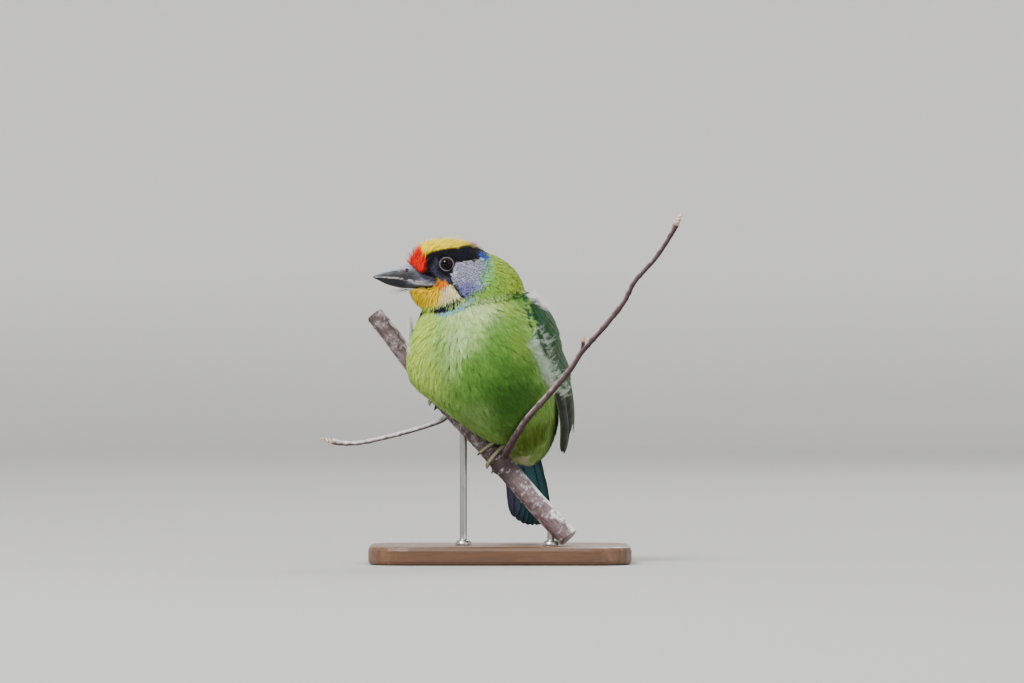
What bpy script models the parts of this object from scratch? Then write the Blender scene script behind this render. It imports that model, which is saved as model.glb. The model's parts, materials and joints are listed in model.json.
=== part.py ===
"""Life-size golden-throated barbet gripping a short cut branch, on a plain display stand.

Metres, +Z up. The origin is the centre of the stand base's underside. Looking along +Y gives the
view in which the bird's breast is turned 30 degrees to the viewer's left and its bill points left.
"""

import math

import bmesh
import bpy
from mathutils import Matrix, Vector

MM = 0.001
GAP = 0.3 * MM  # kept between neighbouring pieces
WELD = 0.01 * MM
CUTTER_SIZE = 0.2  # larger than the head and body, which half spaces of this size cut
SHARP_ANGLE = math.radians(40)
SIDES = ((1, "left"), (-1, "right"))  # the bird's own left and right

# Stand
BASE_LENGTH = 144 * MM
BASE_DEPTH = 96 * MM
BASE_THICKNESS = 10 * MM
BASE_CORNER = 22 * MM
BASE_CORNER_STEPS = 6
BASE_EDGE = 2.2 * MM
ROD_RADIUS = 2 * MM
ROD_FOOT_RADIUS = 4.5 * MM
ROD_FOOT_TOP_RADIUS = 3.6 * MM
ROD_FOOT_HEIGHT = 2.5 * MM
ROD_STATIONS = {"stand_rod_low": 28 * MM, "stand_rod_high": -20 * MM}  # x of each rod

# Branch: a straight run that falls to the right and comes a little towards the viewer
BRANCH_KNOWN_POINT = Vector((-20, -8, 77.7)) * MM
BRANCH_DIRECTION = Vector((1, -0.27, -1.098)).normalized()
BRANCH_UP_REACH = 78 * MM
BRANCH_DOWN_REACH = 87 * MM
BRANCH_RADIUS_HIGH = 4.9 * MM
BRANCH_RADIUS_LOW = 6.0 * MM
BRANCH_WANDER = 0.5 * MM
BRANCH_SWAY_LENGTH = 14 * MM
BRANCH_DRIFT_LENGTH = 21 * MM
BRANCH_SWELLING = 0.5 * MM  # at the old leaf scar below the feet
BRANCH_SWELLING_PLACE = 33 * MM
BRANCH_SWELLING_SPREAD = 9 * MM
BRANCH_BEND_START = -15 * MM
BRANCH_BEND_RISE = 0.78  # metres of rise for the square of each metre beyond the bend's start
BRANCH_STEP = 7.5 * MM
BRANCH_SIDES = 14

# Bird: where it stands, which way it faces, and the slope of its back
BODY_CENTRE = Vector((-6.6, -4, 108.9)) * MM
BODY_HEADING = math.radians(-30)
BODY_PITCH = math.radians(60)
HEAD_CENTRE = Vector((-24.75, -16, 158.4)) * MM
HEAD_HEADING = math.radians(-84)

# Torso, along the body's axis from the shoulders (-1) to the vent (+1):
# station, half depth, half width, shift towards the back, all in millimetres of a round form
TORSO_MIDDLE = 11.5 * MM
TORSO_HALF_LENGTH = 58.5 * MM
TORSO_FORM = (
    (-1.0, 49, 50, 1.5),
    (-0.5, 45.5, 44.3, -4),
    (0.0, 41, 40.3, -4),
    (0.5, 34.8, 33.5, 3),
    (1.0, 30, 27, 13),
)
TORSO_TAPER = 0.08  # how much narrower the back is than the middle
BELLY_REST = Vector((-22.5, 0, 78.1)) * MM  # a point of the slope on which the belly plumage lies
BELLY_SLOPE = math.radians(37)
BELLY_SOFTNESS = 2.5 * MM

# Head, along its own axis from the nape (-1) to the bill (+1):
# station, half height, half width, shift upwards
HEAD_MIDDLE = 1 * MM
HEAD_HALF_LENGTH = 25 * MM
HEAD_FORM = (
    (-1.0, 21, 22, -3),
    (-0.5, 20, 20, -1.5),
    (0.0, 19.4, 17.8, -0.2),
    (0.45, 21.4, 15.8, -0.4),
    (0.75, 24.8, 17, -0.9),
    (1.0, 29, 24, -1.5),
)
NECK_CENTRE = Vector((0, 10.5, -12.3)) * MM  # in the head's own frame
NECK_RADII = Vector((24, 28, 25)) * MM
TORSO_CAGE = (48, 32)  # segments and rings of the round form that the torso starts as
HEAD_CAGE = (40, 24)
BODY_VOXEL = 1.9 * MM
BODY_SMOOTHING = 6
BODY_DECIMATION = 0.11
NECK_BASE_POINT = Vector((-15, 0, 144.3)) * MM
NECK_BASE_TILT = math.radians(-9.2)
HEAD_BACK_POINT = Vector((-13, 0, 158)) * MM
HEAD_BACK_TILT = math.radians(-70)

# Bill, in the head's frame: distance ahead of the head's centre, height of the ridge,
# of the mouth line and of the underside, and half width
BILL_STATIONS = (
    (10.8, 4.6, -5.0, -7.9, 9.6),
    (16.0, 5.4, -4.9, -7.8, 8.5),
    (22.0, 5.3, -4.0, -7.6, 7.1),
    (28.0, 4.6, -2.9, -7.5, 5.8),
    (33.0, 3.5, -1.9, -6.6, 4.6),
    (38.0, 2.2, -1.5, -5.1, 3.2),
    (42.0, 0.6, -1.3, -3.1, 1.8),
    (44.9, -0.7, -1.25, -1.75, 0.5),
)
BILL_SEGMENTS = 10
BILL_FLATNESS = 0.85  # power of the cross-section's width, 1 for an ellipse
# Edge of the face feathers beside the bill, in profile, from the ridge round the gape and back
CHEEK_NOTCH = (
    (30.0, 12.0),
    (24.2, 5.3),
    (19.4, 0.2),
    (15.2, -0.9),
    (11.7, -1.4),
    (10.2, -3.2),
    (11.2, -5.6),
    (13.2, -7.9),
    (24.0, -7.8),
    (30.0, -12.0),
)
CHEEK_CUTTER_WIDTH = 60 * MM
NOSTRIL = Vector((4.5, -26.6, 2.9)) * MM
NOSTRIL_RADIUS = 0.75 * MM

# Eyes, in the head's frame
EYE_FORWARD = 6 * MM
EYE_HEIGHT = 5.6 * MM
EYE_OUT = 13.0 * MM
EYE_RADIUS = 4.3 * MM
LID_RADIUS = 3.9 * MM
LID_THICKNESS = 0.85 * MM
LID_OUT = 2.7 * MM  # how far the lid ring stands out from the eye's centre
LID_SEGMENTS = (18, 6)

# Wings: drawn flat, along the body's axis and round from the middle of the back, then wrapped
WRAP_RADIUS = 40.0
# station along the axis, half width, half depth of the surface that the folded wing lies in
WING_SURFACE = (
    (-45, 29.5, 27.5),
    (-35, 34.5, 32.5),
    (-20, 39.2, 36.5),
    (0, 40.2, 38.0),
    (20, 40.6, 40.0),
    (40, 37.6, 38.8),
    (60, 31.0, 34.2),
    (75, 26.0, 31.0),
)
# Covert shield: station, upper edge, lower edge, height of its outer face over that surface
WING_SHIELD = (
    (-37, 42, 50, -1.0),
    (-34, 33, 58, 0.9),
    (-27, 25, 66, 2.0),
    (-15, 19, 71, 2.5),
    (0, 16, 71, 2.2),
    (14, 14, 66, 1.5),
    (26, 15, 58, 0.9),
    (35, 19, 50, 0.3),
    (40, 26, 43, -0.8),
)
SHIELD_COLUMNS = 7
SHIELD_RIM = -1.2
SHIELD_INNER = -5.0
# Tiers of vanes: how many, first root, last root, first tip, last tip as (along, round),
# width, height of the upper face at root and tip
WING_TIERS = {
    "primary": (5, (4, 46), (0, 60), (67.5, 34), (46, 52), 9.0, 0.3, -2.6),
    "secondary": (5, (0, 48), (0, 27), (54, 42), (42, 23), 9.5, 0.6, 1.6),
    "tertial": (2, (-8, 27), (-8, 20), (35, 20), (26, 15), 10.5, 1.0, 2.3),
    "greater_covert": (5, (-12, 63), (-10, 27), (19, 56), (15, 21), 9.5, 0.9, 2.6),
    "median_covert": (5, (-24, 62), (-22, 28), (0, 60), (-2, 23), 9.5, 1.2, 3.0),
}
VANE_RISE = 0.7  # how far one edge of a vane stands over the other, so that they shingle
VANE_THICKNESS = 0.9
VANE_TIP_THICKNESS = 0.55
VANE_OUTLINE = ((0, 0.72), (0.3, 0.95), (0.6, 1.0), (0.84, 0.84), (0.96, 0.5))  # along, width

# Tail, in the body's frame; its drawing is in millimetres
TAIL_TIP = Vector((1.8, 49, -89)) * MM
TAIL_ROOT = Vector((-1.2, 39.2, -27.9)) * MM
TAIL_PAIRS = 5
TAIL_VANE_WIDTH = 11
TAIL_ROOT_FAN = (0.5, 0.5)  # first vane's distance from the middle, and each further vane's step
TAIL_TIP_FAN = (1.6, 2.2)
TAIL_ROUNDING = 0.35  # how much shorter the vanes get, for the square of the pair's number
TAIL_LAYER = 0.45

# Legs and feet: two toes forward over the branch and two behind it
FOOT_STATIONS = {"left": -4.5 * MM, "right": -36 * MM}  # x on the branch's axis
TOE_RADIUS = 1.3 * MM
TOE_TIP_SHARE = 0.85
TOE_CLEARANCE = 0.45 * MM
TOE_STEPS = 7
KNUCKLE_RISE = 0.12 * MM
KNUCKLES = 3
CLAW_RADIUS = 0.95 * MM
CLAW_TIP_RADIUS = 0.25 * MM
CLAW_STEPS = 4
CLAW_SLIMMING = 0.8
TARSUS_RADIUS = 1.6 * MM
TARSUS_LENGTH = 13 * MM
TARSUS_DIRECTION = Vector((0, 0.35, 0.94))
TARSUS_SHAPE = (1.1, 1.0, 1.2)  # thickness at the pad, half way and at the top
PAD_LIFT = 0.6 * MM
PAD_RADIUS = 2.32 * MM
# toe: start and end angle round the branch from its top towards the viewer, and its place
# along the branch at its start and end
TOES = {
    "2": (-8, 118, -1.5, -3.4),
    "3": (-8, 142, 1.5, 4.2),
    "1": (8, -88, -1.5, -4.4),
    "4": (8, -150, 1.5, 7.0),
}
CLAW_SWEEP = math.radians(42)

# Twigs: centre line and radius, from inside the branch to the bud at the tip
TWIG_RIGHT = (
    (1.2, -14.0, 55.2, 2.5),
    (3.4, -18.8, 60.2, 2.3),
    (5.6, -24.5, 64.6, 2.1),
    (9.5, -31.2, 71.5, 1.95),
    (15.0, -36.4, 79.8, 1.75),
    (25.5, -40.0, 91.6, 1.65),
    (37.8, -42.0, 106.0, 1.6),
    (44.6, -42.8, 116.3, 1.55),
    (55.5, -44.5, 128.5, 1.45),
    (66.6, -46.2, 142.2, 1.4),
    (73.4, -47.5, 154.6, 1.35),
    (84.3, -49.0, 166.9, 1.3),
    (92.5, -50.5, 179.2, 1.35),
    (96.0, -51.2, 186.0, 1.6),
    (98.7, -52.0, 191.5, 0.35),
)
TWIG_STEPS = 3  # points for each row
TWIG_RIGHT_SPUR = (
    (44.6, -42.8, 116.3, 1.0),
    (44.9, -43.4, 119.5, 0.8),
    (45.3, -44.0, 122.4, 1.0),
    (45.6, -44.4, 125.6, 0.3),
)
TWIG_LEFT = (
    (-27.5, -6.0, 85.0, 1.5),
    (-30.8, -8.0, 79.4, 1.45),
    (-38.8, -11.0, 75.9, 1.3),
    (-49.8, -14.0, 72.6, 1.2),
    (-63.5, -17.0, 69.0, 1.15),
    (-77.1, -19.0, 66.3, 1.15),
    (-86.7, -20.0, 66.2, 1.3),
    (-91.5, -20.5, 67.2, 1.6),
    (-98.3, -21.0, 68.8, 0.35),
)

# Base colour, roughness and metallic value of each material
MATERIALS = {
    "green_plumage": ((0.25, 0.43, 0.10), 0.85, 0.0),
    "head_plumage": ((0.20, 0.22, 0.20), 0.85, 0.0),
    "wing_feathers": ((0.06, 0.17, 0.05), 0.65, 0.0),
    "tail_feathers": ((0.05, 0.12, 0.14), 0.6, 0.0),
    "bill_horn": ((0.10, 0.10, 0.12), 0.4, 0.0),
    "eye": ((0.03, 0.015, 0.012), 0.08, 0.0),
    "foot_skin": ((0.16, 0.17, 0.12), 0.6, 0.0),
    "claw_horn": ((0.03, 0.028, 0.025), 0.35, 0.0),
    "bark": ((0.26, 0.19, 0.17), 0.8, 0.0),
    "stand_wood": ((0.20, 0.12, 0.07), 0.45, 0.0),
    "stand_metal": ((0.55, 0.54, 0.52), 0.3, 1.0),
}

BIRD = Matrix.Translation(BODY_CENTRE) @ Matrix.Rotation(BODY_HEADING, 4, "Z")
HEAD = Matrix.Translation(HEAD_CENTRE) @ Matrix.Rotation(HEAD_HEADING, 4, "Z")
AXIS_DOWN = Vector((0, math.cos(BODY_PITCH), -math.sin(BODY_PITCH)))  # neck to tail
AXIS_BACK = Vector((0, math.sin(BODY_PITCH), math.cos(BODY_PITCH)))  # out of the back
BRANCH_TOP = (Vector((0, 0, 1)) - BRANCH_DIRECTION * BRANCH_DIRECTION.z).normalized()
BRANCH_FRONT = BRANCH_DIRECTION.cross(BRANCH_TOP)


def clear_scene():
    for old in list(bpy.data.objects):
        bpy.data.objects.remove(old)


def collection(name):
    made = bpy.data.collections.new(name)
    bpy.context.scene.collection.children.link(made)
    return made


def material(name):
    found = bpy.data.materials.get(name)
    if found:
        return found
    colour, roughness, metallic = MATERIALS[name]
    made = bpy.data.materials.new(name)
    made.use_nodes = True
    shader = made.node_tree.nodes["Principled BSDF"]
    shader.inputs["Base Color"].default_value = (*colour, 1)
    shader.inputs["Roughness"].default_value = roughness
    shader.inputs["Metallic"].default_value = metallic
    return made


def mix(a, b, t):
    return a + (b - a) * t


def smooth_table(rows, t):
    """The values of a table at t, on a smooth curve through all its rows."""
    last = len(rows) - 2
    i = min(last, max(0, sum(row[0] <= t for row in rows) - 1))
    before, low, high, after = (rows[min(last + 1, max(0, k))] for k in range(i - 1, i + 3))
    span = high[0] - low[0]
    u = min(1.0, max(0.0, (t - low[0]) / span))
    values = []
    for k in range(1, len(low)):
        rise = (high[k] - low[k]) / span
        slope_low = (high[k] - before[k]) / (high[0] - before[0]) if before is not low else rise
        slope_high = (after[k] - low[k]) / (after[0] - low[0]) if after is not high else rise
        a = span * slope_low
        b = span * slope_high
        c = high[k] - low[k]
        values.append(low[k] + u * (a + u * (3 * c - 2 * a - b + u * (a + b - 2 * c))))
    return values


def object_of(name, mesh, where):
    made = bpy.data.objects.new(name, mesh)
    where.objects.link(made)
    return made


def object_from_bmesh(name, form, where):
    bmesh.ops.recalc_face_normals(form, faces=form.faces)
    mesh = bpy.data.meshes.new(name)
    form.to_mesh(mesh)
    form.free()
    return object_of(name, mesh, where)


def object_from_faces(name, points, faces, where):
    mesh = bpy.data.meshes.new(name)
    mesh.from_pydata([tuple(p) for p in points], [], faces)
    form = bmesh.new()
    form.from_mesh(mesh)
    bpy.data.meshes.remove(mesh)
    return object_from_bmesh(name, form, where)


def apply_modifiers(obj):
    """Replaces the object's mesh by what its modifiers make of it, in world space."""
    bpy.context.view_layer.update()
    graph = bpy.context.evaluated_depsgraph_get()
    mesh = bpy.data.meshes.new_from_object(obj.evaluated_get(graph))
    mesh.transform(obj.matrix_world)
    obj.modifiers.clear()
    obj.data = mesh
    obj.matrix_world = Matrix.Identity(4)


def keep_largest(obj):
    """Leaves only the largest closed surface of the object."""
    form = bmesh.new()
    form.from_mesh(obj.data)
    left = set(form.faces)
    islands = []
    while left:
        seed = left.pop()
        island = {seed}
        edge_of_search = [seed]
        while edge_of_search:
            face = edge_of_search.pop()
            for edge in face.edges:
                for other in edge.link_faces:
                    if other in left:
                        left.discard(other)
                        island.add(other)
                        edge_of_search.append(other)
        islands.append(island)
    islands.sort(key=lambda faces: sum(f.calc_area() for f in faces))
    scraps = [face for island in islands[:-1] for face in island]
    bmesh.ops.delete(form, geom=scraps, context="FACES")
    form.to_mesh(obj.data)
    form.free()


def boolean(obj, operation, others):
    """Joins closed meshes to obj or cuts them from it, and removes them."""
    group = bpy.data.collections.new("operands")
    for other in others:
        group.objects.link(other)
    modifier = obj.modifiers.new(operation.lower(), "BOOLEAN")
    modifier.operation = operation
    modifier.operand_type = "COLLECTION"
    modifier.collection = group
    modifier.solver = "EXACT"
    apply_modifiers(obj)
    for other in others:
        bpy.data.objects.remove(other)
    bpy.data.collections.remove(group)
    keep_largest(obj)


def duplicate(obj, name, where):
    return object_of(name, obj.data.copy(), where)


def finish(obj, name, material_name):
    obj.name = name
    obj.data.name = name
    obj.data.materials.clear()
    obj.data.materials.append(material(material_name))
    obj.data.shade_smooth()
    obj.data.set_sharp_from_angle(angle=SHARP_ANGLE)


def mesh_of_curve(name, curve, where):
    """The closed mesh that a curve draws, with its caps welded on."""
    drawn = object_of(name, curve, where)
    bpy.context.view_layer.update()
    graph = bpy.context.evaluated_depsgraph_get()
    mesh = bpy.data.meshes.new_from_object(drawn.evaluated_get(graph))
    bpy.data.objects.remove(drawn)
    form = bmesh.new()
    form.from_mesh(mesh)
    bmesh.ops.remove_doubles(form, verts=form.verts, dist=WELD)
    return object_from_bmesh(name, form, where)


def plate(name, corners, thickness, where):
    """A flat outline in XY, extruded by half the thickness to both sides."""
    curve = bpy.data.curves.new(name, "CURVE")
    curve.dimensions = "2D"
    curve.fill_mode = "BOTH"
    curve.extrude = thickness / 2
    spline = curve.splines.new("POLY")
    spline.points.add(len(corners) - 1)
    for point, (x, y) in zip(spline.points, corners):
        point.co = (x, y, 0, 1)
    spline.use_cyclic_u = True
    return mesh_of_curve(name, curve, where)


def tube(name, points, radii, where, sides=8):
    """A closed round tube through the points, as a mesh."""
    curve = bpy.data.curves.new(name, "CURVE")
    curve.dimensions = "3D"
    curve.bevel_depth = 1
    curve.bevel_resolution = (sides - 4) // 2
    curve.use_fill_caps = True
    spline = curve.splines.new("POLY")
    spline.points.add(len(points) - 1)
    for point, place, radius in zip(spline.points, points, radii):
        point.co = (*place, 1)
        point.radius = radius
    return mesh_of_curve(name, curve, where)


def round_form(name, segments, rings, shape, where):
    """A sphere of radius 1 whose every point is moved by shape(x, y, z)."""
    form = bmesh.new()
    bmesh.ops.create_uvsphere(form, u_segments=segments, v_segments=rings, radius=1)
    for vertex in form.verts:
        vertex.co = shape(*vertex.co)
    return object_from_bmesh(name, form, where)


def half_space(name, point, tilt, where):
    """A large box over the plane through point that is turned by tilt about Y."""
    form = bmesh.new()
    bmesh.ops.create_cube(form, size=CUTTER_SIZE)
    turn = Matrix.Translation(point) @ Matrix.Rotation(tilt, 4, "Y")
    form.transform(turn @ Matrix.Translation((0, 0, CUTTER_SIZE / 2)))
    return object_from_bmesh(name, form, where)


# The branch


def branch_centre(along):
    """Centre of the branch, by distance down it from the known point."""
    sway = BRANCH_WANDER * math.sin(along / BRANCH_SWAY_LENGTH)
    drift = BRANCH_WANDER * math.sin(along / BRANCH_DRIFT_LENGTH + 1)
    bend = BRANCH_BEND_RISE * min(0, along - BRANCH_BEND_START) ** 2
    straight = BRANCH_KNOWN_POINT + BRANCH_DIRECTION * along
    return straight + BRANCH_TOP * (sway + bend) + BRANCH_FRONT * drift


def branch_radius(along):
    share = (along + BRANCH_UP_REACH) / (BRANCH_UP_REACH + BRANCH_DOWN_REACH)
    away = (along - BRANCH_SWELLING_PLACE) / BRANCH_SWELLING_SPREAD
    return mix(BRANCH_RADIUS_HIGH, BRANCH_RADIUS_LOW, share) + BRANCH_SWELLING * math.exp(-(away**2))


def branch_along_at_x(x):
    return (x - BRANCH_KNOWN_POINT.x) / BRANCH_DIRECTION.x


def branch_form(name, grow, where):
    count = round((BRANCH_UP_REACH + BRANCH_DOWN_REACH) / BRANCH_STEP)
    length = BRANCH_UP_REACH + BRANCH_DOWN_REACH + 2 * grow
    marks = [-BRANCH_UP_REACH - grow + length * i / count for i in range(count + 1)]
    points = [branch_centre(mark) for mark in marks]
    radii = [branch_radius(mark) + grow for mark in marks]
    return tube(name, points, radii, where, sides=BRANCH_SIDES)


def twig_form(name, rows, where, grow=0.0):
    """A twig whose line runs smoothly through the rows of x, y, z, radius in millimetres."""
    numbered = [(i, *row) for i, row in enumerate(rows)]
    marks = [i / TWIG_STEPS for i in range(TWIG_STEPS * (len(rows) - 1) + 1)]
    values = [smooth_table(numbered, mark) for mark in marks]
    points = [Vector(v[:3]) * MM for v in values]
    radii = [v[3] * MM + grow for v in values]
    return tube(name, points, radii, where)


def make_perch(parts, tools):
    twigs = {
        "perch_twig_right": (TWIG_RIGHT, TWIG_RIGHT_SPUR),
        "perch_twig_left": (TWIG_LEFT,),
    }
    for name, runs in twigs.items():
        twig = twig_form(name, runs[0], parts)
        if len(runs) > 1:
            boolean(twig, "UNION", [twig_form("spur", runs[1], tools)])
        boolean(twig, "DIFFERENCE", [branch_form("branch_room", GAP, tools)])
        finish(twig, name, "bark")
    finish(branch_form("perch_branch", 0, parts), "perch_branch", "bark")


# The body, made whole and then parted


def torso_point(x, y, z):
    """A point of the unit sphere, z along the body's axis and y out of the back, on the torso."""
    depth, width, shift = smooth_table(TORSO_FORM, z)
    along = TORSO_MIDDLE + TORSO_HALF_LENGTH * z
    across = width * x * (1 - TORSO_TAPER * y)
    place = AXIS_DOWN * along + AXIS_BACK * (depth * y + shift) * MM + Vector((across * MM, 0, 0))
    point = BIRD @ place
    slope_up = Vector((math.sin(BELLY_SLOPE), 0, math.cos(BELLY_SLOPE)))
    height = (point - BELLY_REST).dot(slope_up)
    lifted = BELLY_SOFTNESS * math.log1p(math.exp(min(50, height / BELLY_SOFTNESS)))
    return point + slope_up * (lifted - height)


def head_point(x, y, z):
    """A point of the unit sphere, z towards the bill and y upwards, on the head."""
    height, width, shift = smooth_table(HEAD_FORM, z)
    ahead = HEAD_MIDDLE + HEAD_HALF_LENGTH * z
    return HEAD @ Vector((width * x * MM, -ahead, (height * y + shift) * MM))


def neck_point(x, y, z):
    place = NECK_CENTRE + Vector((x * NECK_RADII.x, -z * NECK_RADII.y, y * NECK_RADII.z))
    return HEAD @ place


def whole_body(tools):
    body = round_form("whole_body", *TORSO_CAGE, torso_point, tools)
    neck = round_form("neck_form", *HEAD_CAGE, neck_point, tools)
    head = round_form("head_form", *HEAD_CAGE, head_point, tools)
    boolean(body, "UNION", [neck, head])
    remesh = body.modifiers.new("even", "REMESH")
    remesh.mode = "VOXEL"
    remesh.voxel_size = BODY_VOXEL
    smooth = body.modifiers.new("soften", "SMOOTH")
    smooth.factor = 0.5
    smooth.iterations = BODY_SMOOTHING
    lighter = body.modifiers.new("lighten", "DECIMATE")
    lighter.ratio = BODY_DECIMATION
    lighter.use_collapse_triangulate = True
    apply_modifiers(body)
    return body


def grown(body, where):
    """The body with its skin moved out by a little over the gap, for cutting what lies on it."""
    room = duplicate(body, "body_room", where)
    outwards = room.modifiers.new("outwards", "DISPLACE")
    outwards.mid_level = 0
    outwards.strength = GAP * 1.15
    apply_modifiers(room)
    return room


def bill_section(station, part, grow):
    ahead, ridge, mouth, under, half_width = station
    middle = mouth + (GAP / MM / 2 if part == "upper" else -GAP / MM / 2)
    reach = ridge - middle if part == "upper" else under - middle
    points = []
    for i in range(BILL_SEGMENTS + 1):
        turn = math.pi * i / BILL_SEGMENTS
        side = math.cos(turn)
        x = (half_width + grow) * math.copysign(abs(side) ** BILL_FLATNESS, side)
        z = middle + (reach + math.copysign(grow, reach)) * math.sin(turn)
        points.append(HEAD @ (Vector((x, -ahead, z)) * MM))
    return points


def bill_form(name, part, where, grow=0.0):
    """One mandible, lofted from the gape to the tip."""
    stations = list(BILL_STATIONS)
    if grow:
        first, last = stations[0], stations[-1]
        stations[0] = (first[0] - grow, *first[1:])
        stations[-1] = (last[0] + grow, *last[1:])
    rows = [bill_section(station, part, grow) for station in stations]
    width = BILL_SEGMENTS + 1
    points = [point for row in rows for point in row]
    faces = [tuple(range(width)), tuple(range(len(points) - width, len(points)))]
    for row in range(len(rows) - 1):
        for k in range(width):
            a = row * width + k
            b = row * width + (k + 1) % width
            faces.append((a, b, b + width, a + width))
    return object_from_faces(name, points, faces, where)


def cheek_cutter(where):
    """A prism through the head that bares the side of the bill back to the gape."""
    corners = [(ahead * MM, up * MM) for ahead, up in CHEEK_NOTCH]
    cutter = plate("cheek_cutter", corners, CHEEK_CUTTER_WIDTH, where)
    upright = Matrix(((0, 0, 1, 0), (-1, 0, 0, 0), (0, 1, 0, 0), (0, 0, 0, 1)))
    cutter.data.transform(HEAD @ upright)
    cutter.data.flip_normals()
    return cutter


def eye_centre(side):
    return HEAD @ Vector((side * EYE_OUT, -EYE_FORWARD, EYE_HEIGHT))


def ball(name, centre, radius, where, segments=16):
    return round_form(
        name, segments, segments // 2 + 1, lambda x, y, z: centre + radius * Vector((x, y, z)), where
    )


def lid_ring(side, where):
    """The rim of bare lids round one eye."""
    out = HEAD.to_3x3() @ Vector((side, 0, 0))
    bpy.ops.mesh.primitive_torus_add(
        major_radius=LID_RADIUS,
        minor_radius=LID_THICKNESS,
        major_segments=LID_SEGMENTS[0],
        minor_segments=LID_SEGMENTS[1],
    )
    ring = bpy.context.object
    for holder in ring.users_collection:
        holder.objects.unlink(ring)
    where.objects.link(ring)
    facing = out.to_track_quat("Z", "Y").to_matrix().to_4x4()
    ring.data.transform(Matrix.Translation(eye_centre(side) + out * LID_OUT) @ facing)
    return ring


def make_head(body, parts, tools):
    """Head, neck, bill and eyes."""
    front = duplicate(body, "head", parts)
    over_neck = NECK_BASE_POINT + Vector((0, 0, GAP / 2))
    boolean(front, "INTERSECT", [half_space("over", over_neck, NECK_BASE_TILT, tools)])
    neck = duplicate(front, "neck", parts)
    ahead = HEAD_BACK_POINT - Vector((GAP / 2, 0, 0))
    behind = HEAD_BACK_POINT + Vector((GAP / 2, 0, 0))
    boolean(front, "INTERSECT", [half_space("ahead", ahead, HEAD_BACK_TILT, tools)])
    boolean(neck, "DIFFERENCE", [half_space("behind", behind, HEAD_BACK_TILT, tools)])
    boolean(front, "UNION", [lid_ring(side, tools) for side, _ in SIDES])
    cutters = [cheek_cutter(tools)]
    cutters += [bill_form("bill_room", part, tools, GAP / MM) for part in ("upper", "lower")]
    sockets = [ball("socket", eye_centre(side), EYE_RADIUS + GAP, tools, 20) for side, _ in SIDES]
    boolean(front, "DIFFERENCE", cutters + sockets)
    finish(front, "head", "head_plumage")
    finish(neck, "neck", "green_plumage")
    upper = bill_form("bill_upper", "upper", parts)
    nostrils = []
    for side, _ in SIDES:
        place = HEAD @ Vector((side * NOSTRIL.x, NOSTRIL.y, NOSTRIL.z))
        nostrils.append(ball("nostril", place, NOSTRIL_RADIUS, tools, 10))
    boolean(upper, "DIFFERENCE", nostrils)
    finish(upper, "bill_upper", "bill_horn")
    finish(bill_form("bill_lower", "lower", parts), "bill_lower", "bill_horn")
    for side, word in SIDES:
        eye = ball("eye_" + word, eye_centre(side), EYE_RADIUS, parts)
        finish(eye, "eye_" + word, "eye")


# Wings and tail


def wing_point(side, along, around, height):
    """A point of the flat wing drawing, in millimetres, wrapped round the body."""
    half_width, half_depth = smooth_table(WING_SURFACE, along)
    turn = around / WRAP_RADIUS
    outwards = (half_width + height) * math.sin(turn)
    backwards = (half_depth + height) * math.cos(turn)
    place = AXIS_DOWN * along + AXIS_BACK * backwards + Vector((side * outwards, 0, 0))
    return BIRD @ (place * MM)


def vane_faces(rows):
    """Triangles of a plate three points wide, alike on its upper and lower face, with a tip."""
    faces = []
    half = rows * 3
    for row in range(rows - 1):
        for k in range(2):
            a = row * 3 + k
            for triangle in ((a, a + 1, a + 4), (a, a + 4, a + 3)):
                faces.append(triangle)
                faces.append(tuple(half + corner for corner in reversed(triangle)))
        for a, b in ((row * 3, row * 3 + 3), (row * 3 + 5, row * 3 + 2)):
            faces.append((a, b, half + b))
            faces.append((a, half + b, half + a))
    tip = 2 * half
    last = (rows - 1) * 3
    for k in range(2):
        faces.append((last + k, last + k + 1, tip))
        faces.append((half + last + k + 1, half + last + k, tip))
        faces.append((k + 1, k, half + k))
        faces.append((k + 1, half + k, half + k + 1))
    faces.append((last, tip, half + last))
    faces.append((last + 2, half + last + 2, tip))
    return faces


def vane(name, place, root, tip, width, root_height, tip_height, rise, where):
    """A feather vane from root to tip of a flat drawing, put in space by place(a, b, height)."""
    start, end = Vector(root), Vector(tip)
    line = end - start
    across = Vector((-line.y, line.x)).normalized()
    upper, lower = [], []
    for share, fullness in VANE_OUTLINE:
        middle = start + line * share
        height = mix(root_height, tip_height, share)
        thickness = mix(VANE_THICKNESS, VANE_TIP_THICKNESS, share)
        for k in (-1, 0, 1):
            spot = middle + across * (k * fullness * width / 2)
            top = height + rise * k * fullness / 2
            upper.append(place(spot.x, spot.y, top))
            lower.append(place(spot.x, spot.y, top - thickness))
    point = place(end.x, end.y, tip_height - VANE_TIP_THICKNESS / 2)
    return object_from_faces(name, upper + lower + [point], vane_faces(len(VANE_OUTLINE)), where)


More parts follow.
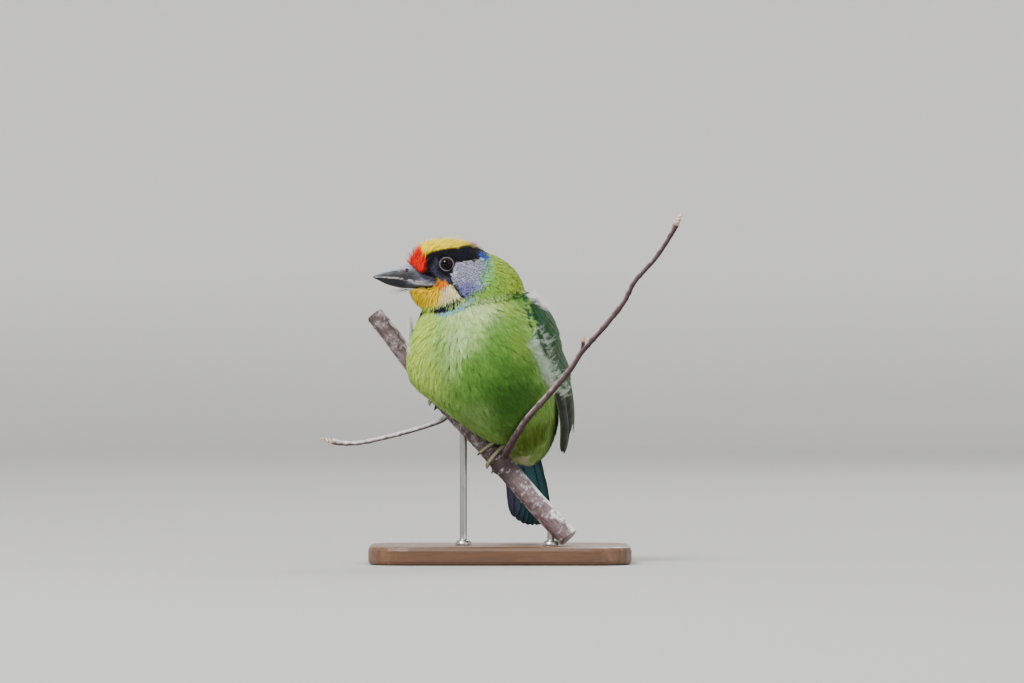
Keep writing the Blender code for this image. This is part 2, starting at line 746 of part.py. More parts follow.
def wing_shield(side, where):
    """The covert shield: a plate domed outwards whose inner face is sunk in the body."""
    rows = len(WING_SHIELD)
    outer, inner = [], []
    for along, high_edge, low_edge, dome in WING_SHIELD:
        for k in range(SHIELD_COLUMNS):
            share = k / (SHIELD_COLUMNS - 1)
            around = mix(high_edge, low_edge, share)
            rim = 1 - abs(2 * share - 1) ** 3
            outer.append(wing_point(side, along, around, mix(SHIELD_RIM, dome, rim)))
            inner.append(wing_point(side, along, around, SHIELD_INNER))
    half = rows * SHIELD_COLUMNS
    faces = []
    for row in range(rows - 1):
        for k in range(SHIELD_COLUMNS - 1):
            a = row * SHIELD_COLUMNS + k
            quad = (a, a + 1, a + SHIELD_COLUMNS + 1, a + SHIELD_COLUMNS)
            faces.append(quad)
            faces.append(tuple(half + corner for corner in reversed(quad)))
    rim = list(range(SHIELD_COLUMNS))
    rim += [row * SHIELD_COLUMNS + SHIELD_COLUMNS - 1 for row in range(1, rows)]
    rim += [(rows - 1) * SHIELD_COLUMNS + k for k in range(SHIELD_COLUMNS - 2, -1, -1)]
    rim += [row * SHIELD_COLUMNS for row in range(rows - 2, 0, -1)]
    for a, b in zip(rim, rim[1:] + rim[:1]):
        faces.append((a, b, half + b, half + a))
    return object_from_faces("wing_shield", outer + inner, faces, where)


def make_wing(side, word, body, parts, tools):
    def place(along, around, height):
        return wing_point(side, along, around, height)

    wing = wing_shield(side, parts)
    vanes = []
    for tier, row in WING_TIERS.items():
        count, first_root, last_root, first_tip, last_tip, width, low, high = row
        for i in range(count):
            share = i / (count - 1)
            root = [mix(a, b, share) for a, b in zip(first_root, last_root)]
            tip = [mix(a, b, share) for a, b in zip(first_tip, last_tip)]
            rise = VANE_RISE if tier == "primary" else -VANE_RISE
            vanes.append(vane(tier, place, root, tip, width, low, high, rise, tools))
    boolean(wing, "UNION", vanes)
    boolean(wing, "DIFFERENCE", [grown(body, tools)])
    finish(wing, "wing_" + word, "wing_feathers")


def make_tail(body, parts, tools):
    """Five pairs of tail vanes, the middle pair uppermost."""
    along = (TAIL_TIP - TAIL_ROOT).normalized()
    full_length = (TAIL_TIP - TAIL_ROOT).length / MM
    across = (Vector((1, 0, 0)) - along * along.x).normalized()
    over = across.cross(along)
    over = over if over.y > 0 else -over

    def place(a, b, height):
        return BIRD @ (TAIL_ROOT + (along * a + across * b + over * height) * MM)

    vanes = []
    for pair in range(TAIL_PAIRS):
        for side in (-1, 1):
            layer = -TAIL_LAYER * (2 * pair + (side > 0))
            root = (0, side * (TAIL_ROOT_FAN[0] + pair * TAIL_ROOT_FAN[1]))
            reach = full_length - TAIL_ROUNDING * pair**2
            tip = (reach, side * (TAIL_TIP_FAN[0] + pair * TAIL_TIP_FAN[1]))
            vanes.append(vane("rectrix", place, root, tip, TAIL_VANE_WIDTH, layer, layer, 0, tools))
    tail = vanes.pop(0)
    parts.objects.link(tail)
    tools.objects.unlink(tail)
    boolean(tail, "UNION", vanes)
    boolean(tail, "DIFFERENCE", [grown(body, tools)])
    finish(tail, "tail", "tail_feathers")


# Legs


def round_branch(along, turn, reach, shift):
    """A point beside the branch, turned from its top towards the viewer."""
    spoke = BRANCH_TOP * math.cos(turn) + BRANCH_FRONT * math.sin(turn)
    return branch_centre(along + shift) + spoke * reach


def toe_line(along, row, first, last, steps, clearance):
    """Points of a toe that bends round the branch, between two shares of its sweep."""
    begin, end, near, far = row
    points = []
    for i in range(steps + 1):
        share = mix(first, last, i / steps)
        turn = math.radians(mix(begin, end, share))
        shift = mix(near, far, share) * MM
        knuckle = KNUCKLE_RISE * math.sin(share * KNUCKLES * math.pi) ** 2
        reach = branch_radius(along + shift) + clearance + knuckle
        points.append(round_branch(along, turn, reach, shift))
    return points


def foot_form(name, word, where, grow=0.0):
    """Four toes and the lower leg, fused on the pad over the branch."""
    along = branch_along_at_x(FOOT_STATIONS[word])
    reach = branch_radius(along) + TOE_CLEARANCE + TOE_RADIUS
    pad = round_branch(along, 0, reach + PAD_LIFT, 0)
    knee = pad + TARSUS_DIRECTION * TARSUS_LENGTH
    leg_radii = [TARSUS_RADIUS * share + grow for share in TARSUS_SHAPE]
    leg = tube(name, [pad, mix(pad, knee, 0.5), knee], leg_radii, where)
    pieces = [ball("pad", pad, PAD_RADIUS + grow, where, 10)]
    shares = [mix(1, TOE_TIP_SHARE, i / TOE_STEPS) for i in range(TOE_STEPS + 1)]
    toe_radii = [TOE_RADIUS * share + grow for share in shares]
    for row in TOES.values():
        line = toe_line(along, row, 0, 1, TOE_STEPS, TOE_CLEARANCE + TOE_RADIUS)
        pieces.append(tube("toe", line, toe_radii, where, sides=6))
    boolean(leg, "UNION", pieces)
    return leg


def claw_form(name, word, row, where, grow=0.0):
    """A claw that goes on round the branch from the end of its toe."""
    along = branch_along_at_x(FOOT_STATIONS[word])
    sweep = math.radians(abs(row[1] - row[0]))
    arc = branch_radius(along) * sweep
    first = 1 + (GAP * 1.5 - 3 * grow) / arc
    last = 1 + CLAW_SWEEP / sweep + grow / arc
    line = toe_line(along, row, first, last, CLAW_STEPS, TOE_CLEARANCE + TOE_RADIUS)
    shares = [(i / CLAW_STEPS) ** CLAW_SLIMMING for i in range(CLAW_STEPS + 1)]
    radii = [mix(CLAW_RADIUS, CLAW_TIP_RADIUS, share) + grow for share in shares]
    return tube(name, line, radii, where, sides=6)


def make_legs(parts):
    for _, word in SIDES:
        finish(foot_form("leg_" + word, word, parts), "leg_" + word, "foot_skin")
        for toe, row in TOES.items():
            name = f"claw_{word}_{toe}"
            finish(claw_form(name, word, row, parts), name, "claw_horn")


def make_torso(body, parts, tools):
    torso = duplicate(body, "torso", parts)
    under_neck = NECK_BASE_POINT - Vector((0, 0, GAP / 2))
    boolean(torso, "DIFFERENCE", [half_space("under", under_neck, NECK_BASE_TILT, tools)])
    rooms = [branch_form("branch_room", GAP, tools)]
    for _, word in SIDES:
        rooms.append(foot_form("foot_room", word, tools, GAP))
        rooms += [claw_form("claw_room", word, row, tools, GAP) for row in TOES.values()]
    boolean(torso, "DIFFERENCE", rooms)
    finish(torso, "torso", "green_plumage")


# The stand


def base_outline():
    """Corners of the base, with a quarter circle at each."""
    corners = []
    for quarter, (sx, sy) in enumerate(((1, 1), (-1, 1), (-1, -1), (1, -1))):
        middle = Vector((sx * (BASE_LENGTH / 2 - BASE_CORNER), sy * (BASE_DEPTH / 2 - BASE_CORNER)))
        for i in range(BASE_CORNER_STEPS + 1):
            turn = math.pi / 2 * (quarter + i / BASE_CORNER_STEPS)
            corners.append(middle + BASE_CORNER * Vector((math.cos(turn), math.sin(turn))))
    return corners


def make_stand(parts, tools):
    slab = plate("stand_base", base_outline(), BASE_THICKNESS, parts)
    form = bmesh.new()
    form.from_mesh(slab.data)
    bmesh.ops.dissolve_limit(form, angle_limit=math.radians(1), verts=form.verts, edges=form.edges)
    form.to_mesh(slab.data)
    form.free()
    slab.location.z = BASE_THICKNESS / 2
    edge = slab.modifiers.new("soft_edge", "BEVEL")
    edge.width = BASE_EDGE
    edge.segments = 2
    edge.limit_method = "ANGLE"
    edge.angle_limit = math.radians(60)
    apply_modifiers(slab)
    finish(slab, "stand_base", "stand_wood")
    for name, x in ROD_STATIONS.items():
        under = branch_centre(branch_along_at_x(x))
        foot = Vector((under.x, under.y, BASE_THICKNESS + GAP))
        rod = tube(name, [foot, under], [ROD_RADIUS, ROD_RADIUS], parts, sides=10)
        collar_top = foot + Vector((0, 0, ROD_FOOT_HEIGHT))
        radii = [ROD_FOOT_RADIUS, ROD_FOOT_TOP_RADIUS]
        boolean(rod, "UNION", [tube("collar", [foot, collar_top], radii, tools, sides=12)])
        boolean(rod, "DIFFERENCE", [branch_form("branch_room", GAP, tools)])
        finish(rod, name, "stand_metal")


def main():
    clear_scene()
    parts = collection("golden_throated_barbet")
    tools = collection("cutters")
    make_stand(parts, tools)
    make_perch(parts, tools)
    body = whole_body(tools)
    make_head(body, parts, tools)
    make_torso(body, parts, tools)
    for side, word in SIDES:
        make_wing(side, word, body, parts, tools)
    make_tail(body, parts, tools)
    make_legs(parts)
    bpy.data.objects.remove(body)
    bpy.data.collections.remove(tools)


main()
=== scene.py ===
"""Looks of the life-size golden-throated barbet on its perch and stand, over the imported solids.

Metres, +Z up, in the part's own frame. In the bird's and the head's own frames x runs to the
bird's left, -y forward and z up. Tables in millimetres say so.
"""

import json
import math
from functools import partial

import bmesh
import bpy
import numpy as np
from mathutils import Matrix, Vector, noise
from mathutils.bvhtree import BVHTree

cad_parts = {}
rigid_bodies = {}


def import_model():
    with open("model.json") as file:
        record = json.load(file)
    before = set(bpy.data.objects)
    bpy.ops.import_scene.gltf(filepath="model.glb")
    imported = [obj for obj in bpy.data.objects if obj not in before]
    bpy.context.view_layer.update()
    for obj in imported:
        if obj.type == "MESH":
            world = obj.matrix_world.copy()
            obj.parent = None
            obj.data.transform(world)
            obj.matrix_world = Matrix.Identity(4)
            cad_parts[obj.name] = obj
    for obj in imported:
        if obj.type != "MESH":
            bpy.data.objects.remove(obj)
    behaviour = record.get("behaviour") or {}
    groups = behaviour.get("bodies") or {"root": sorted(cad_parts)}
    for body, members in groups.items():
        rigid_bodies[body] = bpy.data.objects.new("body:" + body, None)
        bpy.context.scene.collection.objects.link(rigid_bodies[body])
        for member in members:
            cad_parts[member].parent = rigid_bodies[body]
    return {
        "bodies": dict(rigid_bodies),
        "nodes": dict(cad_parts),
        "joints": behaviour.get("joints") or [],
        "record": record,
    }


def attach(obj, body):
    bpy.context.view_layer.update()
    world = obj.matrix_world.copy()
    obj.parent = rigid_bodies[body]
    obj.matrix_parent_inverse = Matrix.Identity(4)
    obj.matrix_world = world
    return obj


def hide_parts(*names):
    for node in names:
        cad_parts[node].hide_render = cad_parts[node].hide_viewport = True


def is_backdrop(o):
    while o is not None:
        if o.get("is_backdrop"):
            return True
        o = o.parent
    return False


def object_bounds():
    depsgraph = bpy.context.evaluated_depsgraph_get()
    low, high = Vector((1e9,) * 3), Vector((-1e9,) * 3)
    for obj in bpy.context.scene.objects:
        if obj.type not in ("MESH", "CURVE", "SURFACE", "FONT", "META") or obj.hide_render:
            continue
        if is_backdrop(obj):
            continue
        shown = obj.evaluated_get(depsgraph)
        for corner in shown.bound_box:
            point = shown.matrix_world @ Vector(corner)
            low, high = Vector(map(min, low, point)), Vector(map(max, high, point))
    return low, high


MM = 0.001
SEED = 11
SIDES = ((1, "left"), (-1, "right"))  # the bird's own left and right

# Picture
CAMERA_PLACE = (0.0066, -4.0, 0.1218)
SENSOR = 36.0
PICTURE_SPAN = 0.5632  # width of the object's plane in the picture
IN_FRONT = -0.2  # y of a place before the whole bird, from which its front is searched

# Bird, as in the solids
BODY_CENTRE = Vector((-6.6, -4, 108.9)) * MM
BODY_HEADING = math.radians(-30)
BODY_PITCH = math.radians(60)
HEAD_CENTRE = Vector((-24.75, -16, 158.4)) * MM
HEAD_HEADING = math.radians(-84)
BIRD = Matrix.Translation(BODY_CENTRE) @ Matrix.Rotation(BODY_HEADING, 4, "Z")
HEAD = Matrix.Translation(HEAD_CENTRE) @ Matrix.Rotation(HEAD_HEADING, 4, "Z")
AXIS_DOWN = Vector((0, math.cos(BODY_PITCH), -math.sin(BODY_PITCH)))
AXIS_BACK = Vector((0, math.sin(BODY_PITCH), math.cos(BODY_PITCH)))
NECK_BASE_POINT = Vector((-15, 0, 144.3)) * MM
NECK_BASE_TILT = math.radians(-9.2)

# Bill, in the head's frame: distance ahead, ridge, mouth line, underside, half width (mm)
BILL_STATIONS = (
    (10.8, 4.6, -5.0, -7.9, 9.6),
    (16.0, 5.4, -4.9, -7.8, 8.5),
    (22.0, 5.3, -4.0, -7.6, 7.1),
    (28.0, 4.6, -2.9, -7.5, 5.8),
    (33.0, 3.5, -1.9, -6.6, 4.6),
    (38.0, 2.2, -1.5, -5.1, 3.2),
    (42.0, 0.6, -1.3, -3.1, 1.8),
    (44.9, -0.7, -1.25, -1.75, 0.5),
)
MOUTH_GAP = 0.3
NOSTRIL = (26.6, 4.5, 2.9)  # ahead, to the side, up
NOSTRIL_RADIUS = 1.15
NOSTRIL_DEPTH = 1.3
CHIP_DEPTH = 0.22  # unevenness of the biting edges
BILL_RINGS, BILL_SIDES = 84, 34
BILL_HOLLOW = 0.05  # hollow of the cheeks of the bill against its half width

# Eyes, in the head's frame
EYE_FORWARD = 6 * MM
EYE_HEIGHT = 5.6 * MM
EYE_OUT = 13.0 * MM
EYE_RADIUS = 4.3 * MM
LID_RADIUS = 3.85 * MM
LID_THICKNESS = 0.48 * MM
LID_OUT = 2.55 * MM
EYE_RINGS, EYE_SIDES = 40, 48
LID_RINGS, LID_SIDES = 96, 22
CORNEA_BULGE = 0.045  # against the eyeball's radius
PUPIL_EDGE = (0.58, 0.64)  # angles from the eye's axis between which the pupil turns into iris
IRIS_EDGE = (0.92, 0.84)

# Wings, as in the solids: drawn flat in millimetres, along the body's axis and round the body
WRAP_RADIUS = 40.0
# Body under the wing: station along the axis, half width, half depth
WING_SURFACE = (
    (-45, 29.5, 27.5),
    (-35, 34.5, 32.5),
    (-20, 39.2, 36.5),
    (0, 40.2, 38.0),
    (20, 40.6, 40.0),
    (40, 37.6, 38.8),
    (60, 31.0, 34.2),
    (75, 26.0, 31.0),
)
# Shield: station along the axis, upper edge, lower edge, height of its dome
WING_SHIELD = (
    (-37, 42, 50, -1.0),
    (-34, 33, 58, 0.9),
    (-27, 25, 66, 2.0),
    (-15, 19, 71, 2.5),
    (0, 16, 71, 2.2),
    (14, 14, 66, 1.5),
    (26, 15, 58, 0.9),
    (35, 19, 50, 0.3),
    (40, 26, 43, -0.8),
)
SHIELD_COLUMNS = 15
SHIELD_SINK = 0.5  # how far the shield under the feathers lies below the solid's
FLANK_LINE = 62  # place round the body where the flank's feathers lie over the wing
# Tiers: how many, first root, last root, first tip, last tip as (along, round), width,
# height at root and tip, rise of one edge over the other
WING_TIERS = {
    "primary": (5, (4, 48), (0, 66), (66.5, 36), (58, 56), 8.2, 0.1, -2.6, -4.6),
    "outer_primary": (4, (2, 44), (0, 56), (54, 41), (50, 50), 8.0, 0.8, -1.0, -4.6),
    "secondary": (9, (0, 48), (0, 27), (54, 42), (42, 23), 8.6, 0.5, 1.2, -0.7),
    "tertial": (3, (-8, 28), (-8, 20), (36, 20), (26, 14), 10.0, 0.9, 1.9, -0.7),
    "greater_covert": (10, (-12, 66), (-10, 25), (18, 58), (14, 20), 7.6, 0.9, 2.4, -0.8),
    "median_covert": (10, (-24, 66), (-22, 26), (0, 62), (-3, 22), 7.4, 1.3, 2.9, -0.8),
}
LONG_TIERS = ("primary", "outer_primary")
RIGHT_TUCK = 9.0  # how much further back the right wing's edge is folded, out of the front view
# Lesser coverts, by row: station, how many, length; and their width and aim round the body
LESSER_ROWS = ((-36, 6, 9.0), (-31.5, 8, 9.0), (-27, 9, 9.5), (-22.5, 10, 9.5), (-18, 10, 10.0))
LESSER_WIDTH = 6.2
LESSER_AIM = 44

# Tail, in the bird's frame
TAIL_TIP = Vector((1.8, 49, -89)) * MM
TAIL_ROOT = Vector((-1.2, 39.2, -27.9)) * MM
TAIL_PAIRS = 5
TAIL_VANE_WIDTH = 11.0
TAIL_FAN_ROOT = 0.5  # step to the side from one pair to the next (mm)
TAIL_FAN_TIP = 2.2
TAIL_LAYER = 0.45

# Branch, twigs and feet, as in the solids
BRANCH_KNOWN_POINT = Vector((-20, -8, 77.7)) * MM
BRANCH_DIRECTION = Vector((1, -0.27, -1.098)).normalized()
BRANCH_UP_REACH = 78 * MM
BRANCH_DOWN_REACH = 87 * MM
BRANCH_RADIUS_HIGH = 4.9 * MM
BRANCH_RADIUS_LOW = 6.0 * MM
BRANCH_WANDER = 0.5 * MM
BRANCH_SWAY_LENGTH = 14 * MM
BRANCH_DRIFT_LENGTH = 21 * MM
BRANCH_SWELLING = 0.5 * MM  # where the right twig grows
BRANCH_SWELLING_PLACE = 33 * MM
BRANCH_SWELLING_SPREAD = 9 * MM
BRANCH_RINGS, BRANCH_SIDES = 330, 56
BARK_SCARS = 250
SCAR_HEIGHT = 0.6 * MM  # of a scar's rim, for a scar of size 1
BARK_WAVES = 0.22 * MM  # heights of the bark's broad and fine relief
BARK_GRAIN = 0.09 * MM
BARK_INSET = 0.12 * MM  # how far the bark's mean lies below the solid's
SAWN_EDGE = 0.94  # radius of the sawn ends against the bark's
FORK_PLACE = 35 * MM  # where the bark round the right twig's root is painted darker
FORK_SPREAD = 10 * MM
BRANCH_BEND_START = -15 * MM
BRANCH_BEND_RISE = 0.78
BRANCH_TOP = (Vector((0, 0, 1)) - BRANCH_DIRECTION * BRANCH_DIRECTION.z).normalized()
BRANCH_FRONT = BRANCH_DIRECTION.cross(BRANCH_TOP)
# Twigs: x, y, z and radius in millimetres
TWIG_RIGHT = (
    (1.2, -14.0, 55.2, 2.5),
    (3.4, -18.8, 60.2, 2.3),
    (5.6, -24.5, 64.6, 2.1),
    (9.5, -31.2, 71.5, 1.95),
    (15.0, -36.4, 79.8, 1.75),
    (25.5, -40.0, 91.6, 1.65),
    (37.8, -42.0, 106.0, 1.6),
    (44.6, -42.8, 116.3, 1.55),
    (55.5, -44.5, 128.5, 1.45),
    (66.6, -46.2, 142.2, 1.4),
    (73.4, -47.5, 154.6, 1.35),
    (84.3, -49.0, 166.9, 1.3),
    (92.5, -50.5, 179.2, 1.35),
    (96.0, -51.2, 186.0, 1.6),
    (98.7, -52.0, 191.5, 0.35),
)
TWIG_COLLAR = (-1.6, -9.5, 51.5, 3.4)  # where the right twig grows out of the branch's bark
TWIG_RIGHT_SPUR = (
    (44.6, -42.8, 116.3, 1.0),
    (44.9, -43.4, 119.5, 0.8),
    (45.3, -44.0, 122.4, 1.0),
    (45.6, -44.4, 125.6, 0.3),
)
TWIG_LEFT = (
    (-27.5, -6.0, 85.0, 1.5),
    (-30.8, -8.0, 79.4, 1.45),
    (-38.8, -11.0, 75.9, 1.3),
    (-49.8, -14.0, 72.6, 1.2),
    (-63.5, -17.0, 69.0, 1.15),
    (-77.1, -19.0, 66.3, 1.15),
    (-86.7, -20.0, 66.2, 1.3),
    (-91.5, -20.5, 67.2, 1.6),
    (-98.3, -21.0, 68.8, 0.35),
)
TWIG_SIDES = 16
TWIG_STEPS = 16  # rings from one row of its table to the next
NODE_SPACING = 13 * MM
NODE_SPREAD = 0.7 * MM
FOOT_STATIONS = {"left": -4.5 * MM, "right": -36 * MM}
TOE_RADIUS = 1.3 * MM
TOE_CLEARANCE = 0.45 * MM
CLAW_RADIUS = 0.95 * MM
CLAW_TIP_RADIUS = 0.12 * MM
TARSUS_RADIUS = 1.6 * MM
TARSUS_LENGTH = 13 * MM
FOOT_SIDES, CLAW_SIDES = 20, 16
TARSUS_STEPS, TOE_STEPS, CLAW_STEPS = 44, 60, 30
CLAW_DARK_STEP = 12
CLAW_OVERLAP = 0.4 * MM  # how far a claw's root reaches back into its toe
PAD_LIFT = 0.6 * MM  # of the leg's lower end over the toes
BALL_RADIUS = 2.3 * MM
BALL_STEPS = 16
SCUTE_PITCH = 1.25 * MM
PAD_PITCH = 4.2 * MM
# Toes: turn round the branch where each begins and ends (degrees), and shift down it (mm)
TOES = {
    "2": (-8, 118, -1.5, -3.4),
    "3": (-8, 142, 1.5, 4.2),
    "1": (8, -88, -1.5, -4.4),
    "4": (8, -150, 1.5, 7.0),
}
CLAW_SWEEP = math.radians(42)

# Colours, as eight-bit values of red, green and blue
TINTS = {
    "black": (16, 15, 22),
    "brow": (24, 22, 34),
    "lore_grey": (66, 66, 84),
    "silver": (186, 186, 210),
    "lilac": (152, 148, 216),
    "deep_blue": (22, 50, 140),
    "bright_blue": (70, 120, 214),
    "blue_green": (142, 204, 140),
    "sky": (184, 212, 240),
    "turquoise": (120, 176, 200),
    "nape": (170, 200, 74),
    "nape_low": (138, 186, 74),
    "crown": (255, 224, 0),
    "crown_pale": (255, 240, 110),
    "forehead": (212, 18, 0),
    "orange": (236, 130, 0),
    "throat": (255, 208, 0),
    "throat_pale": (255, 232, 104),
    "cream": (246, 232, 180),
    "night": (26, 30, 48),
    "breast": (150, 188, 96),
    "breast_gold": (190, 216, 84),
    "breast_pale": (196, 222, 158),
    "flank_gold": (142, 164, 60),
    "leaf": (96, 142, 56),
    "deep_green": (70, 116, 42),
    "shade_green": (50, 86, 28),
    "belly_pale": (126, 160, 90),
    "vent": (84, 104, 26),
    "back": (58, 110, 40),
    "wing": (32, 72, 34),
    "wing_blue": (30, 80, 64),
    "wing_dark": (22, 24, 18),
    "wing_edge": (124, 150, 96),
    "tail_teal": (54, 98, 110),
    "tail_slate": (76, 80, 108),
    "tail_dark": (22, 26, 34),
    "tail_green": (40, 88, 48),
    "fringe": (190, 206, 182),
    "fringe_tip": (224, 236, 226),
    "edging": (212, 214, 192),
    "wisp": (238, 238, 234),
    "vent_fluff": (206, 210, 168),
    "bark_white": (226, 222, 222),
    "bark_silver": (174, 166, 164),
    "bark_purple": (98, 72, 75),
    "bark_dark": (44, 35, 33),
    "bud_scale": (150, 96, 76),
    "bud_tip": (228, 206, 184),
    "bill_pale": (150, 152, 174),
    "bill_mid": (76, 79, 97),
    "bill_dark": (12, 12, 16),
    "bill_base": (122, 123, 146),
    "bill_under": (60, 62, 78),
    "bill_rim": (204, 196, 196),
    "iris": (40, 17, 12),
    "lid_crest": (112, 110, 120),
    "scute_side": (56, 54, 40),
    "scute": (88, 85, 64),
    "scute_highlight": (190, 180, 146),
    "scute_groove": (40, 37, 28),
    "toe_ball": (78, 80, 64),
    "claw_root": (74, 68, 58),
    "claw_tip": (24, 22, 22),
}


def mix(a, b, t):
    """The value at share t of the way from a to b."""
    return a + (b - a) * t


def linear(colour):
    """Scene values of an eight-bit colour."""
    parts = np.array(colour, float) / 255
    return np.where(parts <= 0.04045, parts / 12.92, ((parts + 0.055) / 1.055) ** 2.4)


def opaque(colour):
    """An eight-bit colour as the four values that a shader's socket takes."""
    return (*linear(colour), 1)


TONE = {name: linear(colour) for name, colour in TINTS.items()}


def smooth_step(low, high, value):
    """0 at low and 1 at high with a soft start and end; low may lie over high."""
    t = np.clip((value - low) / (high - low), 0, 1)
    return t * t * (3 - 2 * t)


def smooth_table(rows, t):
    """The values of a table at t, on a smooth curve through all its rows."""
    last = len(rows) - 2
    i = min(last, max(0, sum(row[0] <= t for row in rows) - 1))
    before, low, high, after = (rows[min(last + 1, max(0, k))] for k in range(i - 1, i + 3))
    span = high[0] - low[0]
    u = min(1.0, max(0.0, (t - low[0]) / span))
    values = []
    for k in range(1, len(low)):
        rise = (high[k] - low[k]) / span
        slope_low = (high[k] - before[k]) / (high[0] - before[0]) if before is not low else rise
        slope_high = (after[k] - low[k]) / (after[0] - low[0]) if after is not high else rise
        a = span * slope_low
        b = span * slope_high
        c = high[k] - low[k]
        values.append(low[k] + u * (a + u * (3 * c - 2 * a - b + u * (a + b - 2 * c))))
    return values


# Materials


NOISE_RANGE = (0.3, 0.7)  # between which most of a noise's values lie


class Finish:
    """A procedural material, built up node by node."""

    def __init__(self, name, roughness, fixed=()):
        self.material = bpy.data.materials.new(name)
        self.material.use_nodes = True
        self.tree = self.material.node_tree
        self.shader = self.tree.nodes["Principled BSDF"]
        self.shader.inputs["Roughness"].default_value = roughness
        for socket, value in fixed:
            self.shader.inputs[socket].default_value = value

    def node(self, kind, inputs=(), **settings):
        made = self.tree.nodes.new("ShaderNode" + kind)
        for key, value in settings.items():
            setattr(made, key, value)
        for key, value in dict(inputs).items():
            if isinstance(value, bpy.types.NodeSocket):
                self.tree.links.new(value, made.inputs[key])
            else:
                made.inputs[key].default_value = value
        return made

    def link(self, output, socket):
        self.tree.links.new(output, self.shader.inputs[socket])

    def attribute(self, name, output="Color"):
        return self.node("Attribute", attribute_name=name).outputs[output]

    def place(self, stretch=(1, 1, 1), source=None):
        """Coordinates in metres, stretched, from the object or from a vector attribute."""
        if source:
            start = self.attribute(source, "Vector")
        else:
            start = self.node("TexCoord").outputs["Object"]
        return self.node("Mapping", {"Vector": start, "Scale": stretch}).outputs["Vector"]

    def noise(self, vector, scale, detail=4.0, roughness=0.55):
        made = self.node("TexNoise", {"Vector": vector, "Scale": scale, "Detail": detail})
        made.inputs["Roughness"].default_value = roughness
        return made.outputs["Fac"]

    def ranged(self, value, low, high, to_low=0.0, to_high=1.0):
        inputs = {"Value": value, "From Min": low, "From Max": high, "To Min": to_low, "To Max": to_high}
        return self.node("MapRange", inputs).outputs["Result"]

    def blend(self, share, first, second, kind="MIX"):
        made = self.node("Mix", data_type="RGBA", blend_type=kind)
        for key, value in ((0, share), (6, first), (7, second)):
            if isinstance(value, bpy.types.NodeSocket):
                self.tree.links.new(value, made.inputs[key])
            else:
                made.inputs[key].default_value = value
        return made.outputs[2]

    def shaded(self, colour, value, low, high):
        """The colour times a grey that runs from low to high with the value."""
        grey = self.ranged(value, *NOISE_RANGE, low, high)
        even = self.node("CombineColor", {0: grey, 1: grey, 2: grey}).outputs[0]
        return self.blend(1.0, colour, even, "MULTIPLY")

    def roughened(self, value, low, high):
        self.link(self.ranged(value, *NOISE_RANGE, low, high), "Roughness")

    def bump(self, heights):
        """Relief from pairs of height output, strength and depth in metres."""
        normal = None
        for height, strength, distance in heights:
            inputs = {"Height": height, "Strength": strength, "Distance": distance}
            if normal:
                inputs["Normal"] = normal
            normal = self.node("Bump", inputs).outputs["Normal"]
        self.link(normal, "Normal")


def plumage_finish(name, roughness=0.72):
    """Soft feathers: the painted colour, broken up by fine noise."""
    finish = Finish(name, roughness, (("Specular IOR Level", 0.1), ("Sheen Weight", 0.02)))
    where = finish.place()
    fine = finish.noise(where, 900)
    broad = finish.noise(where, 120)
    colour = finish.shaded(finish.attribute("tint"), fine, 0.86, 1.12)
    finish.link(finish.shaded(colour, broad, 0.92, 1.06), "Base Color")
    finish.roughened(fine, roughness - 0.08, roughness + 0.1)
    finish.bump([(fine, 0.35, 0.0003)])
    return finish.material


def vane_finish(name, roughness):
    """Firm feathers: barbs run out from the shaft as fine ridges."""
    finish = Finish(name, roughness, (("Specular IOR Level", 0.16),))
    along = finish.place((1, 1, 1), "grain")
    barbs = finish.node(
        "TexWave",
        {"Vector": along, "Scale": 520.0, "Distortion": 1.5, "Detail": 2.0, "Detail Scale": 2.0},
        bands_direction="X",
    ).outputs["Fac"]
    cloud = finish.noise(finish.place(), 260)
    colour = finish.shaded(finish.attribute("tint"), barbs, 0.8, 1.12)
    finish.link(finish.shaded(colour, cloud, 0.85, 1.12), "Base Color")
    finish.roughened(cloud, roughness - 0.1, roughness + 0.12)
    finish.bump([(barbs, 0.5, 0.00015), (cloud, 0.2, 0.0003)])
    return finish.material


def horn_finish(name, roughness, coat):
    """Bill and claws: fine growth lines along the horn, worn patches and a soft shine."""
    fixed = (("Coat Weight", coat), ("Coat Roughness", 0.25), ("Specular IOR Level", 0.3))
    finish = Finish(name, roughness, fixed)
    fibres = finish.noise(finish.place((1400, 260, 1400), "grain"), 1.0)
    wear = finish.noise(finish.place(), 330)
    colour = finish.shaded(finish.attribute("tint"), fibres, 0.78, 1.2)
    finish.link(finish.shaded(colour, wear, 0.85, 1.14), "Base Color")
    finish.roughened(wear, roughness - 0.1, roughness + 0.16)
    finish.bump([(fibres, 0.25, 0.00012), (wear, 0.2, 0.0003)])
    return finish.material


def skin_finish(name, cell, roughness=0.6):
    """Bare skin: small scales or pimples with darker creases."""
    finish = Finish(name, roughness, (("Subsurface Weight", 0.05), ("Subsurface Scale", 0.001)))
    where = finish.place()
    cells = finish.node("TexVoronoi", {"Vector": where, "Scale": cell}, feature="F1").outputs["Distance"]
    fine = finish.noise(where, cell * 1.6)
    colour = finish.shaded(finish.attribute("tint"), fine, 0.8, 1.15)
    finish.link(colour, "Base Color")
    finish.roughened(fine, roughness - 0.1, roughness + 0.15)
    finish.bump([(cells, -0.4, 0.0002), (fine, 0.3, 0.0001)])
    return finish.material


def eye_finish():
    """A wet eye, with fine spokes in its iris."""
    finish = Finish("eye", 0.06, (("Specular IOR Level", 0.17),))
    fibres = finish.noise(finish.place((2600, 2600, 500), "grain"), 1.0)
    finish.link(finish.shaded(finish.attribute("tint"), fibres, 0.7, 1.3), "Base Color")
    return finish.material


